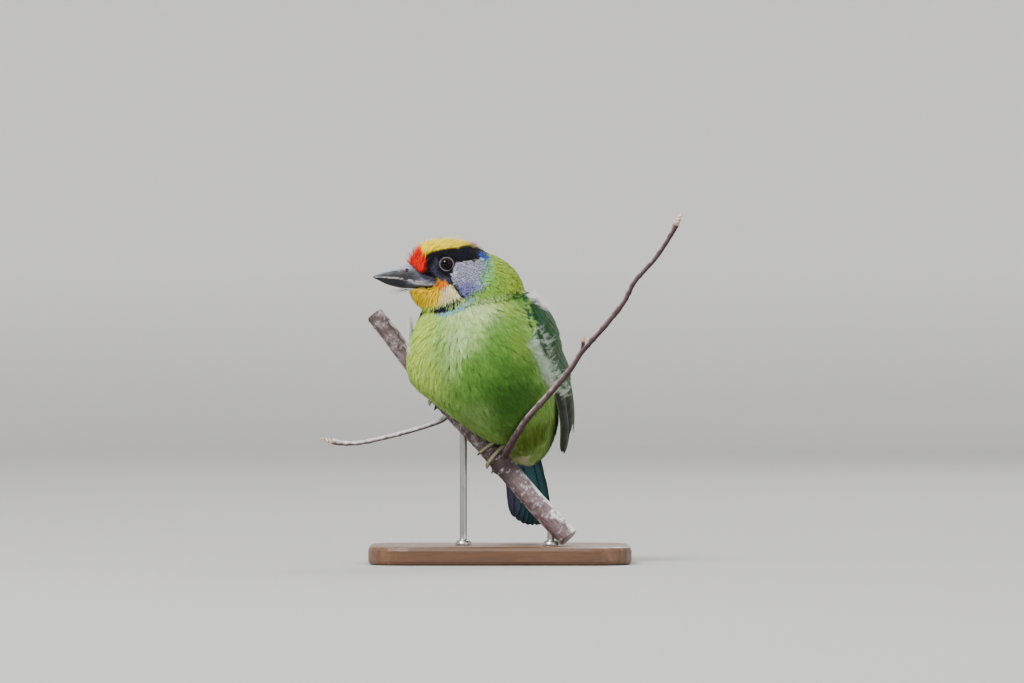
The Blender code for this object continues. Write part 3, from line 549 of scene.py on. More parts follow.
def bark_finish(name):
    """Young bark: its painted colours, broken up by worn patches, speckles and fine cracks."""
    finish = Finish(name, 0.78, (("Specular IOR Level", 0.3),))
    patches = finish.noise(finish.place((420, 420, 200), "grain"), 1.0, 8.0, 0.7)
    speckle = finish.noise(finish.place((900, 900, 500), "grain"), 1.0, 5.0, 0.6)
    cracks = finish.noise(finish.place((520, 520, 90), "grain"), 1.0, 4.0, 0.6)
    colour = finish.shaded(finish.attribute("tint"), patches, 0.55, 1.35)
    colour = finish.shaded(colour, speckle, 0.66, 1.26)
    finish.link(finish.shaded(colour, cracks, 0.78, 1.12), "Base Color")
    finish.roughened(speckle, 0.66, 0.9)
    finish.bump([(cracks, 0.5, 0.0004), (speckle, 0.45, 0.0002), (patches, 0.25, 0.0004)])
    return finish.material


def wood_finish():
    """Oiled walnut: stretched grain, pores and a satin surface."""
    finish = Finish("stand_wood", 0.42, (("Coat Weight", 0.2), ("Coat Roughness", 0.35)))
    grain = finish.noise(finish.place((14, 130, 130)), 1.0, 7.0, 0.62)
    pores = finish.noise(finish.place((90, 1500, 1500)), 1.0, 3.0, 0.6)
    rings = finish.node(
        "TexWave",
        {"Vector": finish.place((6, 60, 40)), "Scale": 1.0, "Distortion": 5.0, "Detail": 3.0},
        bands_direction="Y",
    ).outputs["Fac"]
    colour = finish.blend(grain, opaque((66, 42, 28)), opaque((134, 92, 60)))
    colour = finish.shaded(colour, rings, 0.82, 1.1)
    finish.link(finish.shaded(colour, pores, 0.72, 1.08), "Base Color")
    finish.roughened(pores, 0.56, 0.36)
    finish.bump([(pores, 0.35, 0.0002), (grain, 0.15, 0.0003)])
    return finish.material


def metal_finish():
    """Brushed steel rods with fine lines round them."""
    finish = Finish("stand_metal", 0.34, (("Metallic", 1.0),))
    lines = finish.noise(finish.place((240, 240, 9000)), 1.0, 3.0, 0.6)
    smudge = finish.noise(finish.place(), 160)
    steel = finish.shaded(opaque((176, 174, 170)), lines, 0.88, 1.06)
    finish.link(finish.shaded(steel, smudge, 0.92, 1.05), "Base Color")
    finish.roughened(smudge, 0.26, 0.44)
    finish.bump([(lines, 0.12, 0.00005)])
    return finish.material


def stage_finish():
    """Matt pale ground, paler where less light falls on it: far off and up its rim."""
    finish = Finish("stage", 0.9)
    cloud = finish.noise(finish.place(), 1.2)
    height = finish.node("SeparateXYZ", {"Vector": finish.place()}).outputs["Z"]
    away = finish.node("VectorMath", {"Vector": finish.place()}, operation="LENGTH").outputs["Value"]
    floor = finish.blend(finish.ranged(away, 2.2, 4.6), (0.4, 0.396, 0.385, 1), (0.62, 0.616, 0.6, 1))
    pale = finish.blend(finish.ranged(height, 0.0, 0.22), floor, (0.9, 0.895, 0.875, 1))
    finish.link(finish.shaded(pale, cloud, 0.985, 1.015), "Base Color")
    return finish.material


# Pieces


def set_points(mesh, name, kind, values):
    """Stores a value for each point of a mesh: a colour or a vector."""
    layer = mesh.attributes.new(name, kind, "POINT")
    values = np.asarray(values, np.float32)
    if kind == "FLOAT_COLOR":
        values = np.hstack([values, np.ones((len(values), 1), np.float32)])
        layer.data.foreach_set("color", values.ravel())
    else:
        layer.data.foreach_set("vector", values.ravel())


def show(name, mesh, material, replaced=()):
    """Adds a mesh to the model as a piece that rides on the part."""
    made = bpy.data.objects.new(name, mesh)
    bpy.context.scene.collection.objects.link(made)
    mesh.name = name
    mesh.materials.clear()
    mesh.materials.append(material)
    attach(made, "root")
    if replaced:
        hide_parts(*replaced)
    return made


class Gathered:
    """Points, faces, colours and grain of many small forms that make one piece."""

    def __init__(self):
        self.points = []
        self.faces = []
        self.tints = []
        self.grain = []

    def add(self, points, faces, tints, grain):
        start = len(self.points)
        self.points.extend(tuple(p) for p in points)
        self.faces.extend(tuple(start + corner for corner in face) for face in faces)
        self.tints.extend(tuple(t) for t in tints)
        self.grain.extend(tuple(g) for g in grain)

    def piece(self, name, material, slot, replaced=(), sharp=50):
        """Makes the piece; its edges look sharp from that angle on, in degrees."""
        mesh = bpy.data.meshes.new(name)
        mesh.from_pydata(self.points, [], self.faces)
        set_points(mesh, "tint", "FLOAT_COLOR", self.tints)
        set_points(mesh, "grain", "FLOAT_VECTOR", self.grain)
        form = bmesh.new()
        form.from_mesh(mesh)
        bmesh.ops.recalc_face_normals(form, faces=form.faces)
        form.to_mesh(mesh)
        form.free()
        mesh.shade_smooth()
        mesh.set_sharp_from_angle(angle=math.radians(sharp))
        return show(name, mesh, material, replaced)


def ring_faces(rings, around, capped=True):
    """Faces of a tube of rings of points, with a flat cap at both ends if it is capped."""
    faces = []
    for i in range(rings - 1):
        for k in range(around):
            n = (k + 1) % around
            faces.append((i * around + k, i * around + n, (i + 1) * around + n, (i + 1) * around + k))
    if capped:
        faces.append(tuple(range(around)))
        faces.append(tuple((rings - 1) * around + k for k in range(around)))
    return faces


def slab_faces(rows, columns):
    """Faces of the two sides of a slab of rows of points, whose lower side follows its upper."""
    faces = []
    for row in range(rows - 1):
        for k in range(columns - 1):
            a = row * columns + k
            quad = (a, a + 1, a + columns + 1, a + columns)
            faces.append(quad)
            faces.append(tuple(rows * columns + corner for corner in reversed(quad)))
    return faces


def distances(line):
    """How far each point of a line lies from its start, along it."""
    travelled = [0.0]
    for a, b in zip(line, line[1:]):
        travelled.append(travelled[-1] + (b - a).length)
    return travelled


def limb(into, centres, around, shape, tint, top=Vector((0, 0, 1))):
    """A tube along the centres. shape(i, turn) gives its radius and tint(i, turn) its colour."""
    points, tints, grain = [], [], []
    side = top
    for i, (centre, travelled) in enumerate(zip(centres, distances(centres))):
        before = centres[max(0, i - 1)]
        after = centres[min(len(centres) - 1, i + 1)]
        ahead = (after - before).normalized()
        side = (side - ahead * side.dot(ahead)).normalized()
        other = ahead.cross(side)
        for k in range(around):
            turn = 2 * math.pi * k / around
            radius = shape(i, turn)
            spoke = side * math.cos(turn) + other * math.sin(turn)
            points.append(centre + spoke * radius)
            tints.append(tint(i, turn))
            grain.append((math.cos(turn) * radius, math.sin(turn) * radius, travelled))
    into.add(points, ring_faces(len(centres), around), tints, grain)


# Where things lie on the bird


def in_frame(points, frame):
    """Points of the world in a frame of the bird, in millimetres."""
    back = np.array(frame.inverted())
    return (points @ back[:3, :3].T + back[:3, 3]) / MM


def profile(points):
    """Distance ahead of the head's centre, height over it and distance to the side (mm)."""
    local = in_frame(points, HEAD)
    return -local[:, 1], local[:, 2], np.abs(local[:, 0])


def over_neck(points):
    """Height over the slanting line where the head meets the shoulders (mm)."""
    up = np.array((math.sin(NECK_BASE_TILT), 0, math.cos(NECK_BASE_TILT)))
    return (points - np.array(NECK_BASE_POINT)) @ up / MM


def depth_inside(outline, across, up):
    """How far each point lies inside an outline; below zero outside it."""
    corners = np.array(outline, float)
    inside = np.zeros(len(across), bool)
    nearest = np.full(len(across), np.inf)
    for (ax, ay), (bx, by) in zip(corners, np.roll(corners, -1, axis=0)):
        if by != ay:
            crosses = (ay > up) != (by > up)
            inside ^= crosses & (across < ax + (up - ay) * (bx - ax) / (by - ay))
        dx, dy = bx - ax, by - ay
        t = np.clip(((across - ax) * dx + (up - ay) * dy) / (dx * dx + dy * dy), 0, 1)
        nearest = np.minimum(nearest, np.hypot(across - ax - t * dx, up - ay - t * dy))
    return np.where(inside, nearest, -nearest)


# Markings of the head, painted in this order: tint, softness of the edge, and the outline in
# profile as millimetres ahead of and over the head's centre
HEAD_MARKS = (
    ("nape_low", 5.0, ((-10, 4), (-16, 6), (-24, 0), (-26, -20), (0, -24), (6, -16), (0, -10))),
    ("blue_green", 3.0, ((-12, 8.6), (-18, 9.5), (-20, 6), (-19, 0), (-16, -6), (-12, -9.5), (-9, -6))),
    ("sky", 2.4, ((-12.6, 8.4), (-16, 8.6), (-16.5, 5), (-15, 2), (-13.5, 4))),
    ("silver", 1.3, (
        (3, 7), (-3, 7.2), (-9.4, 7.5), (-13, 8.4), (-14.6, 4), (-13, -1), (-10, -6), (-6, -9), (0, -7),
        (4, -4),
    )),
    ("sky", 2.2, ((-8.5, -3.5), (-11.5, -3), (-13.8, -5.5), (-13, -8.5), (-9.5, -10), (-8, -7))),
    ("lilac", 2.0, ((1.5, -6), (-3, -4.5), (-7.5, -4.5), (-9.5, -6.5), (-8.5, -9.5), (-5, -13), (-2, -14))),
    ("black", 0.6, (
        (16.8, 11.8), (13.5, 13.3), (8.4, 14.3), (1.4, 15.2), (-5.6, 15.8), (-11, 15.4), (-16, 13.8),
        (-18.5, 12), (-18, 10.3), (-13, 8.4), (-9.4, 7.2), (-3, 6.9), (1.2, 6.2), (2.2, 3), (2.9, -2),
        (3, -6.5), (6, -6), (9.5, -2.6), (13, -3.2), (24, 0), (20, 4),
    )),
    ("brow", 1.6, ((2, 8), (2, 14.5), (-6, 15), (-16, 13), (-17, 10), (-9, 8))),
    ("lore_grey", 1.6, (
        (13.5, 4), (11.5, 8.5), (10.5, 8.5), (11.2, 3), (8, -1.5), (4, -2.5), (4, -5), (9, -4), (12.5, 0),
    )),
    ("night", 1.2, (
        (4.2, -4.5), (1.5, -5.5), (-1, -8), (-3, -12.5), (-2.2, -13.4), (0.5, -11.5), (2.8, -8.5),
    )),
    ("deep_blue", 1.4, ((-12.6, 10.6), (-16, 12), (-19.5, 9.6), (-18, 7.6), (-14.5, 7.6))),
    ("bright_blue", 0.7, ((-13, 11), (-14, 11.6), (-14.6, 10.6), (-13.8, 9.6))),
    ("bright_blue", 0.7, ((-15.4, 10.6), (-16.6, 11), (-17, 9.8), (-15.8, 9.2))),
    ("sky", 0.7, ((-13.4, 8.8), (-14.8, 9), (-15, 7.8), (-13.8, 7.4))),
    ("bright_blue", 0.7, ((-17.6, 9.8), (-18.8, 9.6), (-18.4, 8.2), (-17.2, 8.4))),
    ("crown", 0.7, (
        (16.4, 11.4), (13.5, 13), (8.4, 14), (1.4, 15), (-5.6, 15.7), (-9, 17), (-9, 28), (30, 28), (19, 15),
    )),
    ("forehead", 0.9, ((-8, 16.6), (-8, 28), (-14.5, 28), (-15, 15.2), (-11, 15.5))),
    ("forehead", 1.1, (
        (34, -2), (24, 0.4), (19.6, 0.6), (17.2, 4), (16.4, 8), (16.7, 11.6), (18.6, 15), (19.5, 18),
        (21, 28), (34, 28),
    )),
    ("cream", 1.1, (
        (9.5, -9), (6, -6.4), (3.4, -6.8), (2, -9), (-0.4, -12), (-1.2, -15), (3, -18.6), (8, -21),
        (14, -22),
    )),
    ("orange", 0.7, ((14, -5), (10, -3.4), (5.4, -4.6), (4.8, -6.4), (7.6, -9.4), (11, -8.8), (13.5, -7.2))),
    ("throat", 1.6, ((34, -5.4), (13.5, -7.4), (9.6, -9.6), (9, -13), (11.5, -20), (14, -28), (34, -28))),
)
# The dark line in the fold below the throat, where head and breast meet, in the same form
FOLD_MARK = ("night", 0.5, (
    (13, -19.4), (7, -17.8), (2, -15.2), (-2.4, -12.2), (-3.6, -12.8), (-0.8, -15.8), (3, -18), (9, -20.2),
))

# Soft patches of the body seen from the front: tint, strength, X and Z of the middle and
# half width and half height, in millimetres
# Besides the plumage's own colours the patches carry painted light: the pale patches on the breast's left
# are partly painted highlight, and the deep and shade greens of the lower right belly and the vent partly
# painted shade.
BODY_PATCHES = (
    ("leaf", 0.9, 2, 96, 50, 46),
    ("breast_gold", 0.8, -46, 122, 17, 36),
    ("breast_gold", 0.6, -38, 142, 18, 9),
    ("breast_gold", 0.35, -38, 98, 12, 14),
    ("breast_pale", 0.6, -14, 139, 24, 11),
    ("breast_pale", 0.35, -18, 128, 20, 16),
    ("leaf", 0.9, 1, 121, 14, 14),
    ("deep_green", 0.85, 2, 94, 27, 26),
    ("shade_green", 0.65, 8, 88, 16, 20),
    ("breast_pale", 0.5, -23, 120, 7, 11),
    ("breast_pale", 0.25, -27, 106, 6, 8),
    ("leaf", 0.6, 4, 133, 9, 7),
    ("flank_gold", 0.6, 6, 139, 7, 7),
    ("flank_gold", 0.3, 12, 120, 8, 12),
    ("belly_pale", 0.75, -12, 80, 12, 11),
    ("shade_green", 0.6, 4, 72, 10, 7),
    ("vent", 0.95, 18, 68, 20, 17),
)

# Lie of the feathers in profile: millimetres ahead of and over the head's centre, and direction
HEAD_LIE = (
    (25, 7, -0.1, 1.0),
    (20, 14, -0.45, 0.9),
    (12, 18, -0.95, 0.3),
    (0, 19, -1, 0.05),
    (-12, 17, -0.95, -0.3),
    (-20, 10, -0.6, -0.8),
    (-24, -4, -0.25, -0.97),
    (20, 3, -0.5, 0.85),
    (12, 7, -0.85, 0.45),
    (6, 13, -1, 0.1),
    (-6, 11, -1, -0.05),
    (-15, 6, -0.9, -0.45),
    (0, 0, -0.85, -0.5),
    (-8, -4, -0.75, -0.65),
    (6, -6, -0.5, -0.85),
    (-5, -12, -0.55, -0.85),
    (13, -9, 0.45, -0.9),
    (24, -10, 0.55, -0.84),
    (18, -16, 0.4, -0.92),
    (8, -15, 0.25, -0.97),
    (0, -18, -0.4, -0.9),
)


def mottle(points, size):
    """Smooth random-looking values from -1 to 1 that change over a size in metres."""
    total = np.zeros(len(points))
    for k, (a, b, c) in enumerate(((1, 0.3, -0.5), (-0.4, 1, 0.6), (0.5, -0.7, 1))):
        total += np.sin((points @ np.array((a, b, c))) / size * 2.4 + 1.7 * k)
        total += np.sin((points @ np.array((c, a, -b))) / size * 3.7 + 2.9 * k)
    return total / 4


def plumage_colour(points, places):
    """The plumage's colour at points; places are the middles of the body patches on the bird."""
    ahead, up, _ = profile(points)
    local = in_frame(points, BIRD)
    back = local @ np.array(AXIS_BACK)
    colour = np.tile(TONE["breast"], (len(points), 1))

    def paint(tint, share):
        share = np.clip(share, 0, 1)[:, None]
        colour[:] = colour * (1 - share) + TONE[tint] * share

    for (tint, strength, _, _, wide, high), place in zip(BODY_PATCHES, places):
        reach = np.array((wide, wide * 1.3, high)) * MM
        away = np.linalg.norm((points - place) / reach, axis=1)
        paint(tint, strength * (1 - smooth_step(0.25, 1.2, away + 0.14 * mottle(points, 0.006))))
    paint("back", smooth_step(-4, 14, back))
    along = local @ np.array(AXIS_DOWN)
    surface = np.array(WING_SURFACE, float)
    wide = np.interp(along, surface[:, 0], surface[:, 1])
    deep = np.interp(along, surface[:, 0], surface[:, 2])
    around = np.arctan2(np.abs(local[:, 0]) / wide, back / deep) * WRAP_RADIUS
    low_edge = np.interp(along, *np.array(WING_SHIELD, float).T[[0, 2]])
    below = around - np.maximum(low_edge, FLANK_LINE)
    band = smooth_step(8, 2, below + 2.0 * mottle(points, 0.004)) * smooth_step(-26, -13, along)
    paint("fringe", 0.7 * band * smooth_step(26, 6, along) * smooth_step(-6, 0, below))
    neck = over_neck(points)
    on_head = smooth_step(-1.2, 0.6, neck)
    under = colour.copy()
    paint("nape", np.ones(len(points)))
    ahead = ahead + 0.35 * mottle(points, 0.0016)
    up = up + 0.35 * mottle(points[:, ::-1], 0.0014)
    for tint, soft, outline in HEAD_MARKS:
        paint(tint, smooth_step(-soft, soft, depth_inside(outline, ahead, up)))
    colour[:] = under * (1 - on_head[:, None]) + colour * on_head[:, None]
    tint, soft, outline = FOLD_MARK
    paint(tint, smooth_step(-soft, soft, depth_inside(outline, ahead, up)) * smooth_step(-9, -6, neck))
    return colour


def patch_places(surface):
    """Where the middle of each body patch lies on the bird's front."""
    places = []
    for _, _, x, z, _, _ in BODY_PATCHES:
        spot, _, _, _ = surface.ray_cast(Vector((x * MM, IN_FRONT, z * MM)), Vector((0, 1, 0)))
        places.append(np.array(spot if spot else (x * MM, 0, z * MM)))
    return places


def lie_of(points, normals):
    """Which way the feathers lie at points of the skin."""
    ahead, up, _ = profile(points)
    anchors = np.array(HEAD_LIE)
    gap = (ahead[:, None] - anchors[:, 0]) ** 2 + (up[:, None] - anchors[:, 1]) ** 2
    weight = 1 / (gap + 6) ** 1.5
    flat = (weight[:, :, None] * anchors[:, 2:]).sum(1) / weight.sum(1)[:, None]
    zero = np.zeros(len(points))
    head_turn = np.array(HEAD)[:3, :3]
    head_way = np.stack([zero, -flat[:, 0], flat[:, 1]], axis=1) @ head_turn.T
    local = in_frame(points, BIRD)
    front = smooth_step(5, -30, local[:, 1])
    body_way = np.tile(np.array(AXIS_DOWN), (len(points), 1))
    body_way[:, 0] += 0.45 * np.clip(local[:, 0] / 30, -1, 1) * front
    body_way = body_way @ np.array(BIRD)[:3, :3].T
    share = smooth_step(-3, 3, over_neck(points))[:, None]
    way = body_way * (1 - share) + head_way * share
    way -= normals * (way * normals).sum(1)[:, None]
    return way / np.maximum(np.linalg.norm(way, axis=1), 1e-6)[:, None]


# Skin


def merged(nodes, names, voxel, rounds, grow):
    """One even closed surface round the named solids."""
    form = bmesh.new()
    for name in names:
        form.from_mesh(nodes[name].data)
    bmesh.ops.remove_doubles(form, verts=form.verts, dist=0.002 * MM)
    form.normal_update()
    for vertex in form.verts:
        vertex.co += vertex.normal * grow
    mesh = bpy.data.meshes.new("merged")
    form.to_mesh(mesh)
    form.free()
    made = bpy.data.objects.new("merged", mesh)
    bpy.context.scene.collection.objects.link(made)
    remesh = made.modifiers.new("even", "REMESH")
    remesh.mode = "VOXEL"
    remesh.voxel_size = voxel
    smooth = made.modifiers.new("soften", "SMOOTH")
    smooth.factor = 0.5
    smooth.iterations = rounds
    made.modifiers.new("triangles", "TRIANGULATE")
    bpy.context.view_layer.update()
    graph = bpy.context.evaluated_depsgraph_get()
    result = bpy.data.meshes.new_from_object(made.evaluated_get(graph))
    bpy.data.objects.remove(made)
    return result


def mesh_arrays(mesh):
    """Points, normals and the corners of the triangles of a mesh."""
    points = np.empty(len(mesh.vertices) * 3, np.float32)
    normals = np.empty(len(mesh.vertices) * 3, np.float32)
    corners = np.empty(len(mesh.loops), np.int32)
    mesh.vertices.foreach_get("co", points)
    mesh.vertices.foreach_get("normal", normals)
    mesh.loops.foreach_get("vertex_index", corners)
    points, normals = (flat.reshape(-1, 3).astype(float) for flat in (points, normals))
    return points, normals, corners.reshape(-1, 3)


def coat_depth(points):
    """How far the skin lies under the plumage's outer face, in metres."""
    ahead, up, aside = profile(points)
    neck = over_neck(points)
    depth = 0.8 + 1.1 * smooth_step(2, -8, neck) + 0.5 * smooth_step(-8, -20, ahead)
    eye_gap = np.hypot(ahead - EYE_FORWARD / MM, up - EYE_HEIGHT / MM)
    bill_gap = np.where(ahead > 8, np.abs(up - 0.5), 99)
    near = smooth_step(8, 4.5, eye_gap) + smooth_step(11, 6, bill_gap) * smooth_step(14, 20, ahead)
    depth = depth * (1 - 0.75 * np.clip(near, 0, 1) * (aside > 1) * (neck > 2))
    return depth * MM


def unwrap(obj):
    """Lays the skin out flat in the map that the bake uses."""
    bpy.context.view_layer.objects.active = obj
    obj.select_set(True)
    obj.data.uv_layers.new(name="OFBake")
    bpy.ops.object.mode_set(mode="EDIT")
    bpy.ops.mesh.select_all(action="SELECT")
    bpy.ops.uv.smart_project(angle_limit=math.radians(66), island_margin=0.004)
    bpy.ops.object.mode_set(mode="OBJECT")
    obj.select_set(False)
    flat = np.empty(len(obj.data.loops) * 2, np.float32)
    obj.data.uv_layers["OFBake"].data.foreach_get("uv", flat)
    return flat.reshape(-1, 3, 2)


class Bird:
    """The surfaces that the plumage grows on and lies over."""

    def __init__(self, nodes):
        flesh = ("head", "neck", "torso")
        outer = merged(nodes, flesh, 1.1 * MM, 6, 0.15 * MM)
        self.points, self.normals, self.corners = mesh_arrays(outer)
        over = merged(nodes, flesh + ("wing_left", "wing_right"), 1.3 * MM, 4, 0.1 * MM)
        points, _, corners = mesh_arrays(over)
        self.flesh = BVHTree.FromPolygons(self.points.tolist(), self.corners.tolist())
        self.over = BVHTree.FromPolygons(points.tolist(), corners.tolist())
        self.places = patch_places(self.flesh)
        depth = coat_depth(self.points)
        sunk = self.points - self.normals * depth[:, None]
        outer.vertices.foreach_set("co", sunk.astype(np.float32).ravel())
        outer.update()
        # The skin under the plumage takes the plumage's colours painted darker: painted shade deep in the
        # coat, seen between the feathers.
        tint = plumage_colour(self.points, self.places) * 0.7
        set_points(outer, "tint", "FLOAT_COLOR", tint)
        outer.shade_smooth()
        self.skin = show("skin", outer, plumage_finish("under_plumage", 0.85), flesh)
        self.map = unwrap(self.skin)
        bpy.data.meshes.remove(over)


# Coat


def scattered(bird, mask, spacing, rng):
    """Roots spread evenly over the masked faces: faces, weights of their corners, places."""
    corners = bird.points[bird.corners]
    edges = corners[:, 1:] - corners[:, :1]
    area = np.linalg.norm(np.cross(edges[:, 0], edges[:, 1]), axis=1) / 2
    area = np.where(mask, area, 0)
    tries = int(area.sum() / spacing**2 * 5)
    faces = rng.choice(len(area), size=tries, p=area / area.sum())
    a, b = rng.random(tries), rng.random(tries)
    flip = a + b > 1
    a, b = np.where(flip, 1 - a, a), np.where(flip, 1 - b, b)
    weights = np.stack([1 - a - b, a, b], axis=1)
    places = (corners[faces] * weights[:, :, None]).sum(1)
    taken = {}
    kept = []
    for i, place in enumerate(places):
        cell = tuple(int(v // spacing) for v in place)
        near = (
            taken.get((cell[0] + x, cell[1] + y, cell[2] + z), ())
            for x in (-1, 0, 1)
            for y in (-1, 0, 1)
            for z in (-1, 0, 1)
        )
        if all(np.dot(place - q, place - q) > spacing**2 for group in near for q in group):
            taken.setdefault(cell, []).append(place)
            kept.append(i)
    return faces[kept], weights[kept], places[kept]


def laid_lines(roots, ways, lengths, surface, steps, stiffness):
    """Points and normals along each feather, which follows the surface from its root."""
    lines = np.empty((len(roots), steps + 1, 3))
    normals = np.empty((len(roots), steps + 1, 3))
    for i, (root, way, length) in enumerate(zip(roots, ways, lengths)):
        place = Vector(root)
        start = Vector(root)
        first = Vector(way)
        heading = Vector(way)
        step = length / steps
        for k in range(steps + 1):
            spot, normal, _, _ = surface.find_nearest(place)
            straight = start + first * (step * k)
            lines[i, k] = spot.lerp(straight, stiffness) if (straight - spot).dot(normal) > 0 else spot
            normals[i, k] = normal
            heading = heading - normal * heading.dot(normal)
            heading.normalize()
            place = spot + heading * step
    return lines, normals


class Tract:
    """One kind of feather: how long and wide it is, how it stands and how finely it is split."""

    def __init__(self, spacing, length, half_width, barbs, levels, lift, **more):
        self.spacing = spacing * MM
        self.length = length * MM
        self.half_width = half_width * MM
        self.barbs = barbs
        self.levels = levels  # points along each barb
        self.lift = lift * MM  # height of the tip over the plumage's outer face
        self.root = more.get("root", 0.6) * MM  # depth of the root under that face
        self.split = more.get("split", 1.0)  # width of a barb against its share of the feather
        self.stiff = more.get("stiff", 0.0)  # how straight it grows from its root
        self.unruly = more.get("unruly", 0.25)  # spread of the heights at which tips stand
        self.base = more.get("base", 0.6)  # brightness of the base against the tip: painted shade deep in the coat, and on the ear and nape also the dark bases of their scaly feathers
        self.pale_from = more.get("pale_from", 0.7)  # share of a barb where that shade ends
        self.stray = more.get("stray", 0.12)  # spread of the direction, in radians
        self.blur = more.get("blur", 0.25) * MM  # how far colours wander over their edges
        self.facing = more.get("facing")  # the way its face turns, where not the skin's


# Tracts: spacing, length and half width (mm), barbs, points along each, and lift of the tip (mm)
TRACTS = {
    "body": Tract(1.3, 9.0, 1.5, 18, 4, 0.45, root=1.2, split=0.85, unruly=0.5, base=0.8, blur=1.2),
    "nape": Tract(1.0, 3.6, 0.95, 12, 4, 0.4, root=0.7, base=0.6, pale_from=0.9, blur=0.8),
    "face": Tract(0.7, 2.4, 0.5, 8, 3, 0.2, root=0.4, base=0.7),
    "ear": Tract(0.9, 2.1, 0.62, 10, 4, 0.3, root=0.4, base=0.22, pale_from=1.0, stray=0.15, blur=0.9),
    "crown": Tract(0.75, 4.8, 0.42, 7, 4, 1.3, split=0.8, stiff=0.5, unruly=0.9, base=1.0, stray=0.26),
    "throat": Tract(0.85, 4.0, 0.42, 6, 4, 0.6, root=0.5, split=0.85, stiff=0.15, unruly=0.5, base=0.55),
    "fringe": Tract(
        1.5, 8.5, 1.0, 5, 4, 1.2, root=1.0, split=0.24, stiff=0.15, unruly=0.6, base=0.75, stray=0.22
    ),
    "streamer": Tract(
        1.5, 11.5, 0.9, 4, 4, 1.6, root=1.0, split=0.22, stiff=0.3, unruly=0.5, base=0.7, stray=0.16
    ),
    "plume": Tract(
        1.5, 15.0, 1.0, 14, 4, 0.4, root=0.4, split=0.5, stiff=1.0, stray=0.06, facing=(0, -1, 0)
    ),
    "wisp": Tract(
        1.5, 8.5, 0.9, 6, 4, 1.6, root=0.5, split=0.18, stiff=0.6, unruly=0.7, base=0.9, stray=0.3
    ),
    "edging": Tract(1.5, 4.6, 0.7, 8, 4, 0.4, root=0.6, split=0.3, stiff=0.2, base=0.8, stray=0.14),
    "down": Tract(
        1.2, 4.5, 1.2, 12, 4, 0.8, root=0.6, split=0.35, stiff=0.2, unruly=0.6, base=0.85, stray=0.4
    ),
}
# Feathers of a tract that have a second colour, with their share
FLECKS = {
    "crown": ("crown_pale", 0.08),
    "throat": ("throat_pale", 0.2),
}
SHADE_REACH = 0.7  # share of a barb over which the shade of its base fades
ROUNDNESS = 0.5  # how round a feather looks across
BARB_RELIEF = 0.3  # how much a barb's own turn shows in its shading
PATCH = 0.003  # size of one feather's patch in the bake's map
STEPS = 4  # stretches of the line that a feather follows
TRIANGLE_LIMIT = 190000  # of one piece
CHUNK_TRIANGLES = 60000  # made at once


